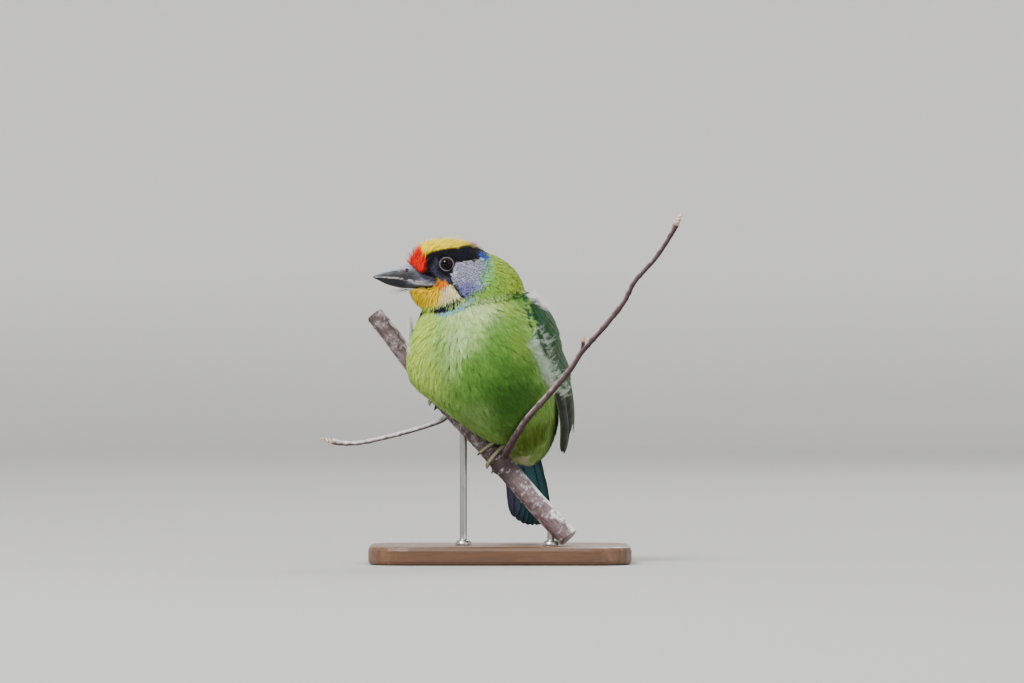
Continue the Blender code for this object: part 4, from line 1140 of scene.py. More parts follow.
def feather_arrays(tract, lines, normals, scale, tints, tips, spots, rng):
    """Points, triangles, colours, map places and soft normals of split feathers."""
    count = len(lines)
    barbs, levels = tract.barbs, tract.levels
    sides = np.cross(normals[:, 1], lines[:, -1] - lines[:, 0])
    sides /= np.maximum(np.linalg.norm(sides, axis=1), 1e-9)[:, None]
    s = np.linspace(-1, 1, barbs)[None, :] + rng.normal(0, 0.5 / barbs, (count, barbs))
    begin = 0.42 * np.clip(1 - np.abs(s), 0, 1) ** 1.5
    finish = np.clip(1 - 0.3 * np.abs(s) ** 1.6 + rng.normal(0, 0.05, (count, barbs)), 0.4, 1.06)
    wide = tract.half_width * 2 / barbs * tract.split
    light = rng.normal(1, 0.05, (count, barbs))
    roll = rng.normal(0, 0.35, (count, barbs))
    rows, colours, places, soft = [], [], [], []
    index = np.arange(count)[:, None]
    stand = scale[:, None] * (1 + tract.unruly * rng.normal(0, 1, (count, 1)))
    for level in range(levels):
        u = level / (levels - 1)
        t = begin + (finish - begin) * u
        spot = np.clip(t, 0, 0.999) * STEPS
        low = spot.astype(int)
        part = (spot - low)[..., None]
        extra = np.maximum(t - 0.999, 0)[..., None]
        middle = lines[index, low] * (1 - part) + lines[index, low + 1] * part
        middle += (lines[:, -1] - lines[:, -2])[:, None] * extra * STEPS
        up = normals[index, low] * (1 - part) + normals[index, low + 1] * part
        spread = (0.12 + 0.88 * np.sin(np.clip(t, 0, 1) * math.pi / 2)) * tract.half_width * scale[:, None]
        height = -tract.root * (1 - t) ** 2 + tract.lift * stand * t**1.6
        height = height - 0.16 * tract.half_width * s**2 + 0.05 * MM * rng.normal(0, 1, (count, barbs))
        centre = middle + up * height[..., None] + sides[:, None] * (s * spread)[..., None]
        # Barbs darken towards the feather's base by the tract's base brightness: mostly painted shade deep
        # in the coat, on the ear and nape partly the feathers' own dark bases.
        shade = mix(tract.base, 1.0, smooth_step(tract.pale_from - SHADE_REACH, tract.pale_from, u))
        turned = up * np.cos(roll)[..., None] - sides[:, None] * np.sin(roll)[..., None]
        facing = up + sides[:, None] * (s * ROUNDNESS)[..., None] + turned * BARB_RELIEF
        tone = tints[:, None] * (1 - u**2) + tips[:, None] * u**2
        tone = tone * (shade * light)[..., None]
        if level < levels - 1:
            half = wide * (0.75, 1.0, 0.8)[min(level, 2)] * scale[:, None] / 2
            edge = sides[:, None] * np.cos(roll)[..., None] + up * np.sin(roll)[..., None]
            for sign in (-1, 1):
                rows.append(centre + edge * (sign * half)[..., None])
        else:
            rows.append(centre)
        local = np.stack([s * 0.45, np.broadcast_to(np.clip(t, 0, 1) - 0.5, s.shape) * 0.9], axis=2)
        for _ in range(2 if level < levels - 1 else 1):
            colours.append(tone)
            soft.append(facing)
            places.append(spots[:, None] + local * PATCH)
    per_barb = len(rows)
    points = np.stack(rows, axis=2).reshape(-1, 3)
    tints_out = np.stack(colours, axis=2).reshape(-1, 3)
    map_out = np.stack(places, axis=2).reshape(-1, 2)
    facing_out = np.stack(soft, axis=2).reshape(-1, 3)
    facing_out /= np.linalg.norm(facing_out, axis=1)[:, None]
    pattern = []
    for level in range(levels - 2):
        a = level * 2
        pattern += [(a, a + 3, a + 1), (a, a + 2, a + 3)]
    pattern.append((per_barb - 3, per_barb - 1, per_barb - 2))
    starts = np.arange(count * barbs)[:, None, None] * per_barb
    faces = (np.array(pattern)[None] + starts).reshape(-1, 3)
    return points, faces, np.clip(tints_out, 0, 1), map_out, facing_out


def coat_piece(name, parts, material):
    """Joins feather arrays into pieces that each stay under the triangle limit."""
    batches = [[]]
    load = 0
    for part in parts:
        if load and load + len(part[1]) > TRIANGLE_LIMIT:
            batches.append([])
            load = 0
        batches[-1].append(part)
        load += len(part[1])
    for number, batch in enumerate(batches):
        label = f"{name}_{number + 1}"
        offset = 0
        faces = []
        for part in batch:
            faces.append(part[1] + offset)
            offset += len(part[0])
        faces = np.concatenate(faces)
        mesh = bpy.data.meshes.new(label)
        mesh.from_pydata(np.concatenate([part[0] for part in batch]), [], faces)
        set_points(mesh, "tint", "FLOAT_COLOR", np.concatenate([part[2] for part in batch]))
        layer = mesh.uv_layers.new(name="OFBake")
        flat = np.concatenate([part[3] for part in batch])[faces.ravel()]
        layer.data.foreach_set("uv", flat.astype(np.float32).ravel())
        mesh.shade_smooth()
        mesh.normals_split_custom_set_from_vertices(np.concatenate([part[4] for part in batch]).tolist())
        show(label, mesh, material)


def sprout(bird, name, roots, rng, ways, tint=None, tip=None):
    """Feathers of one tract at the roots; roots are faces, weights of their corners, places."""
    tract = TRACTS[name]
    faces, weights, places = roots
    corner = bird.corners[faces]
    normals = (bird.normals[corner] * weights[:, :, None]).sum(1)
    normals /= np.linalg.norm(normals, axis=1)[:, None]
    spots = (bird.map[faces] * weights[:, :, None]).sum(1)
    ways = lie_of(places, normals) if ways is None else ways
    yaw = rng.normal(0, tract.stray, len(places))[:, None]
    ways = ways * np.cos(yaw) + np.cross(normals, ways) * np.sin(yaw)
    scale = np.clip(rng.normal(1, 0.12, len(places)), 0.7, 1.35)
    lines, along = laid_lines(places, ways, tract.length * scale, bird.over, STEPS, tract.stiff)
    if tract.facing:
        along[:] = tract.facing
    if tint is None:
        blurred = lines[:, STEPS - 1] + rng.normal(0, tract.blur, places.shape)
        tints = plumage_colour(blurred, bird.places)
    else:
        tints = np.tile(TONE[tint], (len(places), 1))
    if name in FLECKS:
        second, share = FLECKS[name]
        bright = tints[:, 1] > 0.3
        picked = (rng.random(len(places)) < share) & bright
        tints = np.where(picked[:, None], mix(tints, TONE[second], 0.6), tints)
    tints = tints * rng.normal(1, 0.07, len(places))[:, None]
    # Tips without a colour of their own are painted a little brighter than the rest: painted light on the
    # coat's outer face.
    tips = np.tile(TONE[tip], (len(places), 1)) if tip else tints * 1.1
    parts = []
    order = np.argsort(places[:, 2])
    chunk = CHUNK_TRIANGLES // (tract.barbs * (2 * tract.levels - 3))
    for start in range(0, len(order), chunk):
        pick = order[start : start + chunk]
        shown = (lines[pick], along[pick], scale[pick], tints[pick], tips[pick], spots[pick])
        parts.append(feather_arrays(tract, *shown, rng))
    return parts


def grow(bird, name, mask, rng):
    """Feathers of one tract over the masked faces of the skin."""
    return sprout(bird, name, scattered(bird, mask, TRACTS[name].spacing, rng), rng, None)


def lifted_roots(bird, points):
    """Roots with the map's place taken from the nearest skin, but set where the points are."""
    faces, weights = [], []
    for point in points:
        spot, _, face, _ = bird.flesh.find_nearest(Vector(point))
        a, b, c = bird.points[bird.corners[face]]
        shares = np.linalg.lstsq(np.array([a, b, c]).T, np.array(spot), rcond=None)[0]
        faces.append(face)
        weights.append(shares / shares.sum())
    return np.array(faces), np.array(weights), np.array(points)


WING_COVER = 0.75 * MM  # how far over the skin a wing lies before it carries no feathers
WOOD_ROOM = 1.6 * MM  # how close to the wood and to horn the skin carries no feathers
HORN_ROOM = 0.5 * MM
EYE_ROOM = 4.9  # in millimetres round the middle of the eye


def face_zones(bird, nodes):
    """Which faces of the skin carry which tract of feathers."""
    middle = bird.points[bird.corners].mean(1)
    ahead, up, aside = profile(middle)
    neck = over_neck(middle)
    outlines = {}
    for tint, _, outline in HEAD_MARKS:
        outlines.setdefault(tint, []).append(outline)

    def within(*tints):
        found = np.zeros(len(middle), bool)
        for tint in tints:
            for outline in outlines[tint]:
                found |= depth_inside(outline, ahead, up) > 0
        return found

    hidden = np.zeros(len(middle), bool)
    wood = BVHTree.FromPolygons(*solid_faces(nodes, ("perch_branch", "perch_twig_right")))
    hard = BVHTree.FromPolygons(*solid_faces(nodes, ("bill_upper", "bill_lower", "eye_left", "eye_right")))
    for i, place in enumerate(middle):
        covered = bird.over.find_nearest(Vector(place))[3] > WING_COVER
        in_wood = wood.find_nearest(Vector(place), WOOD_ROOM)[0] is not None
        in_bill = hard.find_nearest(Vector(place), HORN_ROOM)[0] is not None
        hidden[i] = covered or in_wood or in_bill
    eye_gap = np.hypot(ahead - EYE_FORWARD / MM, up - EYE_HEIGHT / MM)
    hidden |= (eye_gap < EYE_ROOM) & (aside > 8)
    head = (neck > 0) & ~hidden
    crown = head & within("crown", "forehead")
    throat = head & ~crown & within("throat", "cream", "orange")
    face = head & ~crown & ~throat & within("black", "night", "deep_blue")
    ear = head & ~crown & ~throat & ~face & within("silver", "lilac", "sky")
    return {
        "crown": crown,
        "throat": throat,
        "face": face,
        "ear": ear,
        "nape": head & ~crown & ~throat & ~face & ~ear,
        "body": (neck <= 0) & ~hidden,
    }


def solid_faces(nodes, names):
    """Points and faces of several solids, for finding what lies near them."""
    points, faces = [], []
    for name in names:
        mesh = nodes[name].data
        start = len(points)
        points.extend(v.co.copy() for v in mesh.vertices)
        faces.extend(tuple(start + i for i in p.vertices) for p in mesh.polygons)
    return points, faces


def mirrored(points):
    """The same places on the other side of the bird's body."""
    flip = np.array(BIRD @ Matrix.Scale(-1, 4, Vector((1, 0, 0))) @ BIRD.inverted())
    return points @ flip[:3, :3].T + flip[:3, 3]


def along_path(path, count, spread, rng):
    """Points scattered along a line through (x, z) pairs in millimetres, seen from the front."""
    steps = np.hypot(*np.diff(np.array(path, float), axis=0).T)
    travelled = np.concatenate([[0], np.cumsum(steps)])
    marks = np.interp(np.sort(rng.uniform(0, travelled[-1], count)), travelled, range(len(path)))
    xs = np.interp(marks, range(len(path)), [row[0] for row in path]) + rng.normal(0, spread, count)
    zs = np.interp(marks, range(len(path)), [row[1] for row in path]) + rng.normal(0, spread, count)
    return xs * MM, zs * MM, marks / (len(path) - 1)


# Loose feathers seen from the front: tract, tint, how many, spread, whether the other side has
# them too, path as (x, z) pairs in millimetres, and the direction at its start and end, with y
# away from the viewer
LOOSE = (
    (
        ("wisp", "wisp", 44, 0.7, False),
        ((12, 147), (17.5, 145), (23, 140.5)),
        ((1, 0.2, 0.3), (1, 0.2, -0.1)),
    ),
    (
        ("plume", "wisp", 20, 0.5, False),
        ((-51.4, 119), (-50.8, 124)),
        ((-0.08, 0, 1), (-0.04, 0, 1)),
    ),
    (
        ("wisp", "wisp", 18, 0.8, False),
        ((-49, 111), (-50.5, 121)),
        ((-0.3, 0, 0.95), (-0.2, 0, 0.98)),
    ),
    (
        ("face", "turquoise", 120, 0.6, False),
        ((-36, 137.4), (-31, 137.2), (-26, 138.8), (-20, 142.4), (-14.5, 146.5)),
        ((0.25, -0.1, -1), (0.5, -0.1, -0.9)),
    ),
    (
        ("face", "night", 170, 0.4, False),
        ((-39, 140.2), (-35, 139.7), (-31, 140.0), (-27.5, 141.2), (-24.4, 143.2)),
        ((0.35, -0.2, -0.9), (0.7, -0.2, -0.6)),
    ),
    (
        ("down", "vent_fluff", 130, 1.6, True),
        ((8, 58), (12, 55), (16, 52)),
        ((0.3, 0, -0.95), (0.6, 0.3, -0.9)),
    ),
)
FRINGE_REACH = (-22, 24)  # stations along the body between which the flank lies over the wing
FRINGE_COUNTS = {"fringe": 260, "streamer": 130}  # on each side
RIDGE_REACH = (-41, -9)  # stations between which pale hairs line the wing's upper contour
RIDGE_AROUND = 42.0  # place of that contour round the body
RIDGE_COUNT = 200


def wing_ridge(side, rng):
    """Pale hair-like tips in a narrow line where the wing's back and face meet."""
    points, ways = [], []
    for along in rng.uniform(*RIDGE_REACH, RIDGE_COUNT):
        around = RIDGE_AROUND + rng.normal(0, 1.1) + 4 * float(smooth_step(-32, -42, along))
        dome = smooth_table(WING_SHIELD, max(WING_SHIELD[0][0], along))[2]
        start = wing_point(side, along, around, dome + 0.6)
        points.append(start)
        end = wing_point(side, along + 6, around + rng.normal(0.3, 0.8), dome + 1.2)
        ways.append((end - start).normalized())
    return np.array(points), np.array(ways)


def flank_fringe(side, count, rng):
    """Loose pale tips of the flank feathers, lying back over the wing's lower edge."""
    points, ways = [], []
    for _ in range(count):
        along = rng.uniform(*FRINGE_REACH)
        low_edge = smooth_table(WING_SHIELD, min(39, along))[1]
        around = max(low_edge, FLANK_LINE) + rng.uniform(-2.0, 8.0)
        start = wing_point(side, along, around, 0)
        share = (along - FRINGE_REACH[0]) / (FRINGE_REACH[1] - FRINGE_REACH[0])
        rise = mix(-2.5, 3.0, share) + rng.normal(0, 2.0)
        points.append(start)
        end = wing_point(side, along - rise, around - 8, 0)
        ways.append((end - start).normalized())
    return np.array(points), np.array(ways)


def loose_feathers(bird, rng):
    """Feathers that stand out of the plumage where the photo's do."""
    parts = []
    for (tract, tint, count, spread, paired), path, (first, last) in LOOSE:
        xs, zs, shares = along_path(path, count, spread, rng)
        points = []
        for x, z in zip(xs, zs):
            spot = bird.over.ray_cast(Vector((x, IN_FRONT, z)), Vector((0, 1, 0)))[0]
            points.append(spot if spot else bird.over.find_nearest(Vector((x, -2 * MM, z)))[0])
        points = np.array(points)
        ways = mix(np.array(first), np.array(last), shares[:, None])
        ways /= np.linalg.norm(ways, axis=1)[:, None]
        parts += sprout(bird, tract, lifted_roots(bird, points), rng, ways, tint)
        if paired:
            across = mirrored(points)
            ways = mirrored(points + ways) - across
            parts += sprout(bird, tract, lifted_roots(bird, across), rng, ways, tint)
    points, ways = wing_ridge(1, rng)
    parts += sprout(bird, "edging", lifted_roots(bird, points), rng, ways, "edging")
    for side, _ in SIDES:
        for tract, count in FRINGE_COUNTS.items():
            points, ways = flank_fringe(side, count, rng)
            parts += sprout(bird, tract, lifted_roots(bird, points), rng, ways, "fringe", "fringe_tip")
    return parts


def make_coat(bird, nodes, rng):
    """The coat of the head, and that of the body with its loose feathers."""
    zones = face_zones(bird, nodes)
    soft = plumage_finish("plumage")
    fine = plumage_finish("head_plumage", 0.66)
    head_parts = []
    for name in ("nape", "face", "ear", "crown", "throat"):
        head_parts += grow(bird, name, zones[name], rng)
    coat_piece("coat_head", head_parts, fine)
    body_parts = grow(bird, "body", zones["body"], rng) + loose_feathers(bird, rng)
    coat_piece("coat_body", body_parts, soft)


# Wings and tail


def wing_point(side, along, around, height):
    """A point of the flat wing drawing, in millimetres, wrapped round the body."""
    half_width, half_depth = smooth_table(WING_SURFACE, along)
    turn = around / WRAP_RADIUS
    outwards = (half_width + height) * math.sin(turn)
    backwards = (half_depth + height) * math.cos(turn)
    place = AXIS_DOWN * along + AXIS_BACK * backwards + Vector((side * outwards, 0, 0))
    return BIRD @ (place * MM)


def fullness(share):
    """Half width of a feather, against its greatest, by share of its length."""
    base = mix(0.45, 1.0, smooth_step(0.0, 0.35, share))
    end = math.sqrt(max(0.0, 1 - (max(0.0, share - 0.66) / 0.34) ** 2.2))
    return float(base) * end


WEB_COLUMNS = (-1, -0.72, -0.42, -0.16, -0.045, 0.045, 0.16, 0.42, 0.72, 1)
WEB_ROWS = 16
ROW_CROWDING = 1.9  # how much closer the rows stand at the tip
SHAFT_REACH = 0.1  # half width of the shaft against that of the feather
SHAFT_HEIGHT = 0.16  # of the shaft over the webs at its root (mm)
WEB_THICKNESS = 0.32  # beside the shaft (mm)
EDGE_THICKNESS = 0.1
WEB_CAMBER = 0.25  # how far the edges lie below the shaft (mm)
WEB_SWEEP = 0.55  # how far the webs' barbs run towards the tip, against the width
FRAYING = 0.06  # unevenness of the edges against the width


def feather(into, place, root, tip, width, root_height, tip_height, rise, tone, bend, rng):
    """A firm feather: two webs and a raised shaft, from root to tip of a flat drawing in mm."""
    start, end = Vector(root), Vector(tip)
    line = end - start
    across = Vector((-line.y, line.x)).normalized()
    columns = len(WEB_COLUMNS)
    upper, lower, tints, grain = [], [], [], []
    frays = 1 - FRAYING * rng.random((WEB_ROWS + 1, 2))
    for row in range(WEB_ROWS + 1):
        share = 1 - (1 - row / WEB_ROWS) ** ROW_CROWDING
        half = width / 2 * max(0.02, fullness(share))
        for reach in WEB_COLUMNS:
            fray = frays[row, int(reach > 0)] if abs(reach) == 1 else 1
            skew = WEB_SWEEP * abs(reach) * half / line.length * (1 - share)
            middle = start + line * min(1, share + skew)
            spot = middle + across * (reach * half * fray + bend * math.sin(math.pi * share))
            shaft = SHAFT_HEIGHT * (1 - 0.7 * share) if abs(reach) < SHAFT_REACH else 0
            twist = rise * share**2 * reach * half / width
            top = mix(root_height, tip_height, share) + twist - WEB_CAMBER * reach**2
            thick = mix(WEB_THICKNESS, EDGE_THICKNESS, abs(reach)) + shaft
            upper.append(place(spot.x, spot.y, top + shaft))
            lower.append(place(spot.x, spot.y, top - thick))
            tints.append(tone(share, reach, True))
            grain.append(((share * line.length - abs(reach) * half * 0.9) * MM, reach * half * MM, 0))
    for row in range(WEB_ROWS + 1):
        share = 1 - (1 - row / WEB_ROWS) ** ROW_CROWDING
        tints.extend(tone(share, reach, False) for reach in WEB_COLUMNS)
    faces = slab_faces(WEB_ROWS + 1, columns)
    total = len(upper)
    for row in range(WEB_ROWS):
        left, right = row * columns, (row + 2) * columns - 1
        faces.append((left, left + columns, total + left + columns, total + left))
        faces.append((right, right - columns, total + right - columns, total + right))
    for row in (0, WEB_ROWS):
        for k in range(columns - 1):
            a = row * columns + k
            faces.append((a + 1, a, total + a, total + a + 1))
    into.add(upper + lower, faces, tints, grain + grain)


def wing_tone(tier, place_share, lit):
    """How a wing feather is coloured, by share of its length and reach across it."""

    def tone(share, reach, upper):
        green = mix(TONE["wing"], TONE["wing_blue"], 0.4 * place_share + 0.1)
        rim = smooth_step(0.86, 1.0, abs(reach)) * 0.45
        if tier in LONG_TIERS:
            colour = mix(TONE["wing_dark"], green, float(smooth_step(0.35, 0.95, -reach)) * 0.35)
        elif tier == "secondary":
            colour = mix(TONE["wing_dark"], green, 0.35 + 0.6 * float(smooth_step(-0.5, 0.6, reach)))
        else:
            colour = mix(green, TONE["wing"], float(smooth_step(0.2, 0.8, share)))
            rim = smooth_step(0.7, 1.0, max(abs(reach), share)) * 0.22
        colour = mix(colour, TONE["wing_edge"], float(rim))
        if abs(reach) < SHAFT_REACH:
            colour = colour * 0.45
        return colour * lit * (1.0 if upper else 0.7)

    return tone


def wing_shield(into, side):
    """The closed ground under the coverts, sunk a little below the solid's face."""
    outer, inner, tints, grain = [], [], [], []
    rows = 3 * (len(WING_SHIELD) - 1) + 1
    for i in range(rows):
        along = mix(WING_SHIELD[0][0], WING_SHIELD[-1][0], i / (rows - 1))
        high_edge, low_edge, dome = smooth_table(WING_SHIELD, along)
        for k in range(SHIELD_COLUMNS):
            share = k / (SHIELD_COLUMNS - 1)
            around = mix(high_edge, low_edge, share)
            rim = 1 - abs(2 * share - 1) ** 3
            outer.append(wing_point(side, along, around, mix(-1.2, dome, rim) - SHIELD_SINK))
            inner.append(wing_point(side, along, around, -4.0))
            # The ground under the coverts is painted darker than the wing: painted shade seen through the
            # gaps between the feathers.
            tints.append(TONE["wing"] * 0.6)
            grain.append((along * MM, around * MM, 0))
    faces = slab_faces(rows, SHIELD_COLUMNS)
    half = len(outer)
    rim = list(range(SHIELD_COLUMNS))
    rim += [row * SHIELD_COLUMNS + SHIELD_COLUMNS - 1 for row in range(1, rows)]
    rim += [(rows - 1) * SHIELD_COLUMNS + k for k in range(SHIELD_COLUMNS - 2, -1, -1)]
    rim += [row * SHIELD_COLUMNS for row in range(rows - 2, 0, -1)]
    for a, b in zip(rim, rim[1:] + rim[:1]):
        faces.append((a, b, half + b, half + a))
    into.add(outer + inner, faces, tints + tints, grain + grain)


def make_wing(side, word, material, rng):
    """A closed wing: its shield, its tiers of long feathers and coverts, and the lesser coverts."""
    place = partial(wing_point, side)
    wing = Gathered()
    wing_shield(wing, side)
    for tier, row in WING_TIERS.items():
        count, first_root, last_root, first_tip, last_tip, width, low, high, rise = row
        for i in range(count):
            share = i / (count - 1)
            root = [mix(a, b, share) for a, b in zip(first_root, last_root)]
            tip = [mix(a, b, share) + rng.normal(0, 0.35) for a, b in zip(first_tip, last_tip)]
            if side < 0 and tier in LONG_TIERS:
                root[1] -= RIGHT_TUCK * share
                tip[1] -= RIGHT_TUCK * share
            tone = wing_tone(tier, share, rng.normal(1, 0.06))
            feather(wing, place, root, tip, width, low, high, rise, tone, 0.3, rng)
    lesser_coverts(wing, place, rng)
    wing.piece("wing_" + word + "_feathers", material, "wing_feathers", ("wing_" + word,), 60)


def lesser_coverts(wing, place, rng):
    """Rows of small rounded feathers over the front of the shield."""
    for along, count, length in LESSER_ROWS:
        high_edge, low_edge, dome = smooth_table(WING_SHIELD, along)
        for i in range(count):
            share = (i + 0.5) / count
            around = mix(high_edge, low_edge, share)
            rim = 1 - abs(2 * share - 1) ** 3
            height = mix(-1.0, dome, rim)
            low, high = height - 0.3, height + 1.1
            root = (along, around)
            tip = (along + length + rng.normal(0, 0.3), mix(around, LESSER_AIM, 0.1) + rng.normal(0, 0.3))
            tone = wing_tone("lesser", share, rng.normal(1, 0.08))
            feather(wing, place, root, tip, LESSER_WIDTH, low, high, -0.5, tone, 0, rng)


def tail_tone(pair, side):
    """Green above; below slate on the bird's right, teal in the middle and nearly black edges."""

    def tone(share, reach, upper):
        across = side * (1 + pair * TAIL_FAN_TIP) + reach * TAIL_VANE_WIDTH / 2
        under = mix(TONE["tail_slate"], TONE["tail_teal"], float(smooth_step(-9, -2, across)))
        colour = TONE["tail_green"] if upper else under
        outer = float(smooth_step(0.3, 1.0, reach * side))
        colour = mix(colour, TONE["tail_dark"], outer * (0.8 if side > 0 else 0.35))
        colour = mix(colour, TONE["tail_dark"], float(smooth_step(0.86, 1.0, share)) * 0.5)
        if abs(reach) < SHAFT_REACH:
            colour = colour * 0.35
        return colour

    return tone


def make_tail(material, rng):
    """Five pairs of tail feathers, the middle pair uppermost."""
    along = (TAIL_TIP - TAIL_ROOT).normalized()
    full_length = (TAIL_TIP - TAIL_ROOT).length / MM
    across = (Vector((1, 0, 0)) - along * along.x).normalized()
    over = across.cross(along)
    over = over if over.y > 0 else -over

    def place(a, b, height):
        return BIRD @ (TAIL_ROOT + (along * a + across * b + over * height) * MM)

    tail = Gathered()
    for pair in range(TAIL_PAIRS):
        for side in (-1, 1):
            layer = -TAIL_LAYER * (2 * pair + (side > 0))
            root = (0, side * (0.5 + pair * TAIL_FAN_ROOT))
            tip = (full_length - 0.35 * pair**2, side * (1.6 + pair * TAIL_FAN_TIP))
            tone = tail_tone(pair, side)
            feather(tail, place, root, tip, TAIL_VANE_WIDTH, layer, layer, 0.3 * side, tone, 0, rng)
    tail.piece("tail_feathers", material, "tail_feathers", ("tail",), 60)


# Head details


def bill_tint(ahead, level, upper, grit):
    """Horn colour by distance ahead (mm) and level from the mouth line (0) to the outer edge (1)."""
    pale, mid, dark = (TONE[name] for name in ("bill_pale", "bill_mid", "bill_dark"))
    wander = 0.16 * grit
    if upper:
        # Paler towards the ridge: the horn's paler culmen, and a painted highlight along the top.
        colour = mix(mid, pale, float(smooth_step(0.5, 0.95, level)))
        colour = mix(colour, TONE["bill_base"], float(smooth_step(24, 15, ahead)) * 0.7)
        patch = smooth_step(22, 30, ahead + 5 * grit) * smooth_step(43.5, 40.5, ahead)
        patch = patch * smooth_step(0.02, 0.1, level) * smooth_step(0.8, 0.58, level + wander)
        streak = smooth_step(17, 24, ahead) * smooth_step(0.4, 0.26, abs(level - 0.3) + wander)
        patch = 1.15 * patch + 0.75 * streak
    else:
        stripe = smooth_step(0.5, 0.25, level + wander) * smooth_step(28, 22, ahead)
        colour = mix(TONE["bill_under"], pale, float(stripe))
        patch = 0.85 * smooth_step(23, 30, ahead + 4 * grit)
    colour = mix(colour, dark, float(np.clip(patch, 0, 1)))
    edge = smooth_step(0.09, 0.0, level) * smooth_step(14, 22, ahead) * smooth_step(-0.3, 0.2, grit)
    return mix(colour, TONE["bill_rim"], float(edge) * 0.9)


def make_mandible(part, material):
    """One half of the bill, lofted from the gape to the tip, with nostrils if it is the upper."""
    upper = part == "upper"
    first, last = BILL_STATIONS[0][0], BILL_STATIONS[-1][0]
    bill = Gathered()
    points, tints, grain = [], [], []
    for i in range(BILL_RINGS):
        ahead = mix(first, last, 1 - (1 - i / (BILL_RINGS - 1)) ** 1.15)
        ridge, mouth, under, half_width = smooth_table(BILL_STATIONS, ahead)
        middle = mouth + (MOUTH_GAP / 2 if upper else -MOUTH_GAP / 2)
        reach = ridge - middle if upper else under - middle
        for k in range(BILL_SIDES):
            turn = math.pi * k / (BILL_SIDES - 1)
            cosine = math.cos(turn)
            x = half_width * math.copysign(abs(cosine) ** 0.85, cosine)
            level = math.sin(turn)
            cheek = BILL_HOLLOW * (1 if upper else 0.4)
            hollow = cheek * half_width * math.sin(math.pi * min(1, level))
            x -= math.copysign(hollow, x)
            chip = CHIP_DEPTH * noise.noise(Vector((ahead * 1.6, x, 3.1 if upper else 7.7)))
            z = middle + reach * level + chip * float(smooth_step(0.3, 0, level))
            pit = 0
            if upper:
                gap = math.dist((ahead, abs(x), z), NOSTRIL)
                pit = NOSTRIL_DEPTH * max(0.0, 1 - (gap / NOSTRIL_RADIUS) ** 2)
                x -= math.copysign(pit, x)
            grit = noise.noise(Vector((ahead * 0.5, z * 1.3, math.copysign(4, x))))
            tint = bill_tint(ahead, level, upper, grit)
            points.append(HEAD @ (Vector((x, -ahead, z)) * MM))
            # The nostrils are painted black with their depth: painted shade in the pits.
            tints.append(mix(tint, TONE["black"], min(1, pit * 1.2)))
            grain.append((x * MM, ahead * MM, z * MM))
    bill.add(points, ring_faces(BILL_RINGS, BILL_SIDES), tints, grain)
    name = "bill_" + part
    bill.piece(name + "_horn", material, "bill_horn", (name,), 50)


# Bristles round the bill's base: how many on each side, first and last root, the way they
# grow and their length (mm). Roots and ways are given ahead, to the side and up.
BRISTLES = (
    (7, (23.5, 4.6, 2.6), (20.0, 4.2, 6.6), (0.75, 0.6, 0.3), 6.5),
    (8, (12.0, 9.2, -3.0), (17.5, 8.2, -1.0), (0.7, 0.7, -0.25), 7.0),
    (7, (24.0, 4.0, -8.2), (29.0, 1.0, -8.0), (0.96, 0.15, -0.2), 7.5),
)
BRISTLE_RADIUS = 0.09
BRISTLE_STEPS = 6
BRISTLE_SIDES = 5


def bristle_radius(step, turn):
    """Radius of a bristle, which tapers towards its tip."""
    return BRISTLE_RADIUS * MM * (1 - 0.8 * step / BRISTLE_STEPS)


def make_bristles(material, rng):
    """Fine black hairs that curve forward from the bill's base and chin."""
    hairs = Gathered()
    for count, first, last, way, length in BRISTLES:
        for i in range(count):
            for side, _ in SIDES:
                root = [mix(a, b, i / (count - 1)) + rng.normal(0, 0.3) for a, b in zip(first, last)]
                lean = [w + rng.normal(0, 0.14) for w in way]
                reach = length * rng.uniform(0.7, 1.15)
                line = []
                for k in range(BRISTLE_STEPS + 1):
                    share = k / BRISTLE_STEPS
                    ahead, out, up = (r + w * reach * share for r, w in zip(root, lean))
                    out = out - 0.16 * reach * share**2
                    up = up - 0.12 * reach * share**2
                    line.append(HEAD @ (Vector((side * out, -ahead, up)) * MM))
                limb(hairs, line, BRISTLE_SIDES, bristle_radius, lambda k, turn: TONE["black"])
    hairs.piece("bill_bristles", material, "head_plumage")


def eye_frame(side):
    """Axes of an eye: out of the head, up, and ahead, with its centre."""
    out = (HEAD.to_3x3() @ Vector((side, -0.12, 0))).normalized()
    up = Vector((0, 0, 1))
    return HEAD @ Vector((side * EYE_OUT, -EYE_FORWARD, EYE_HEIGHT)), out, up, out.cross(up)


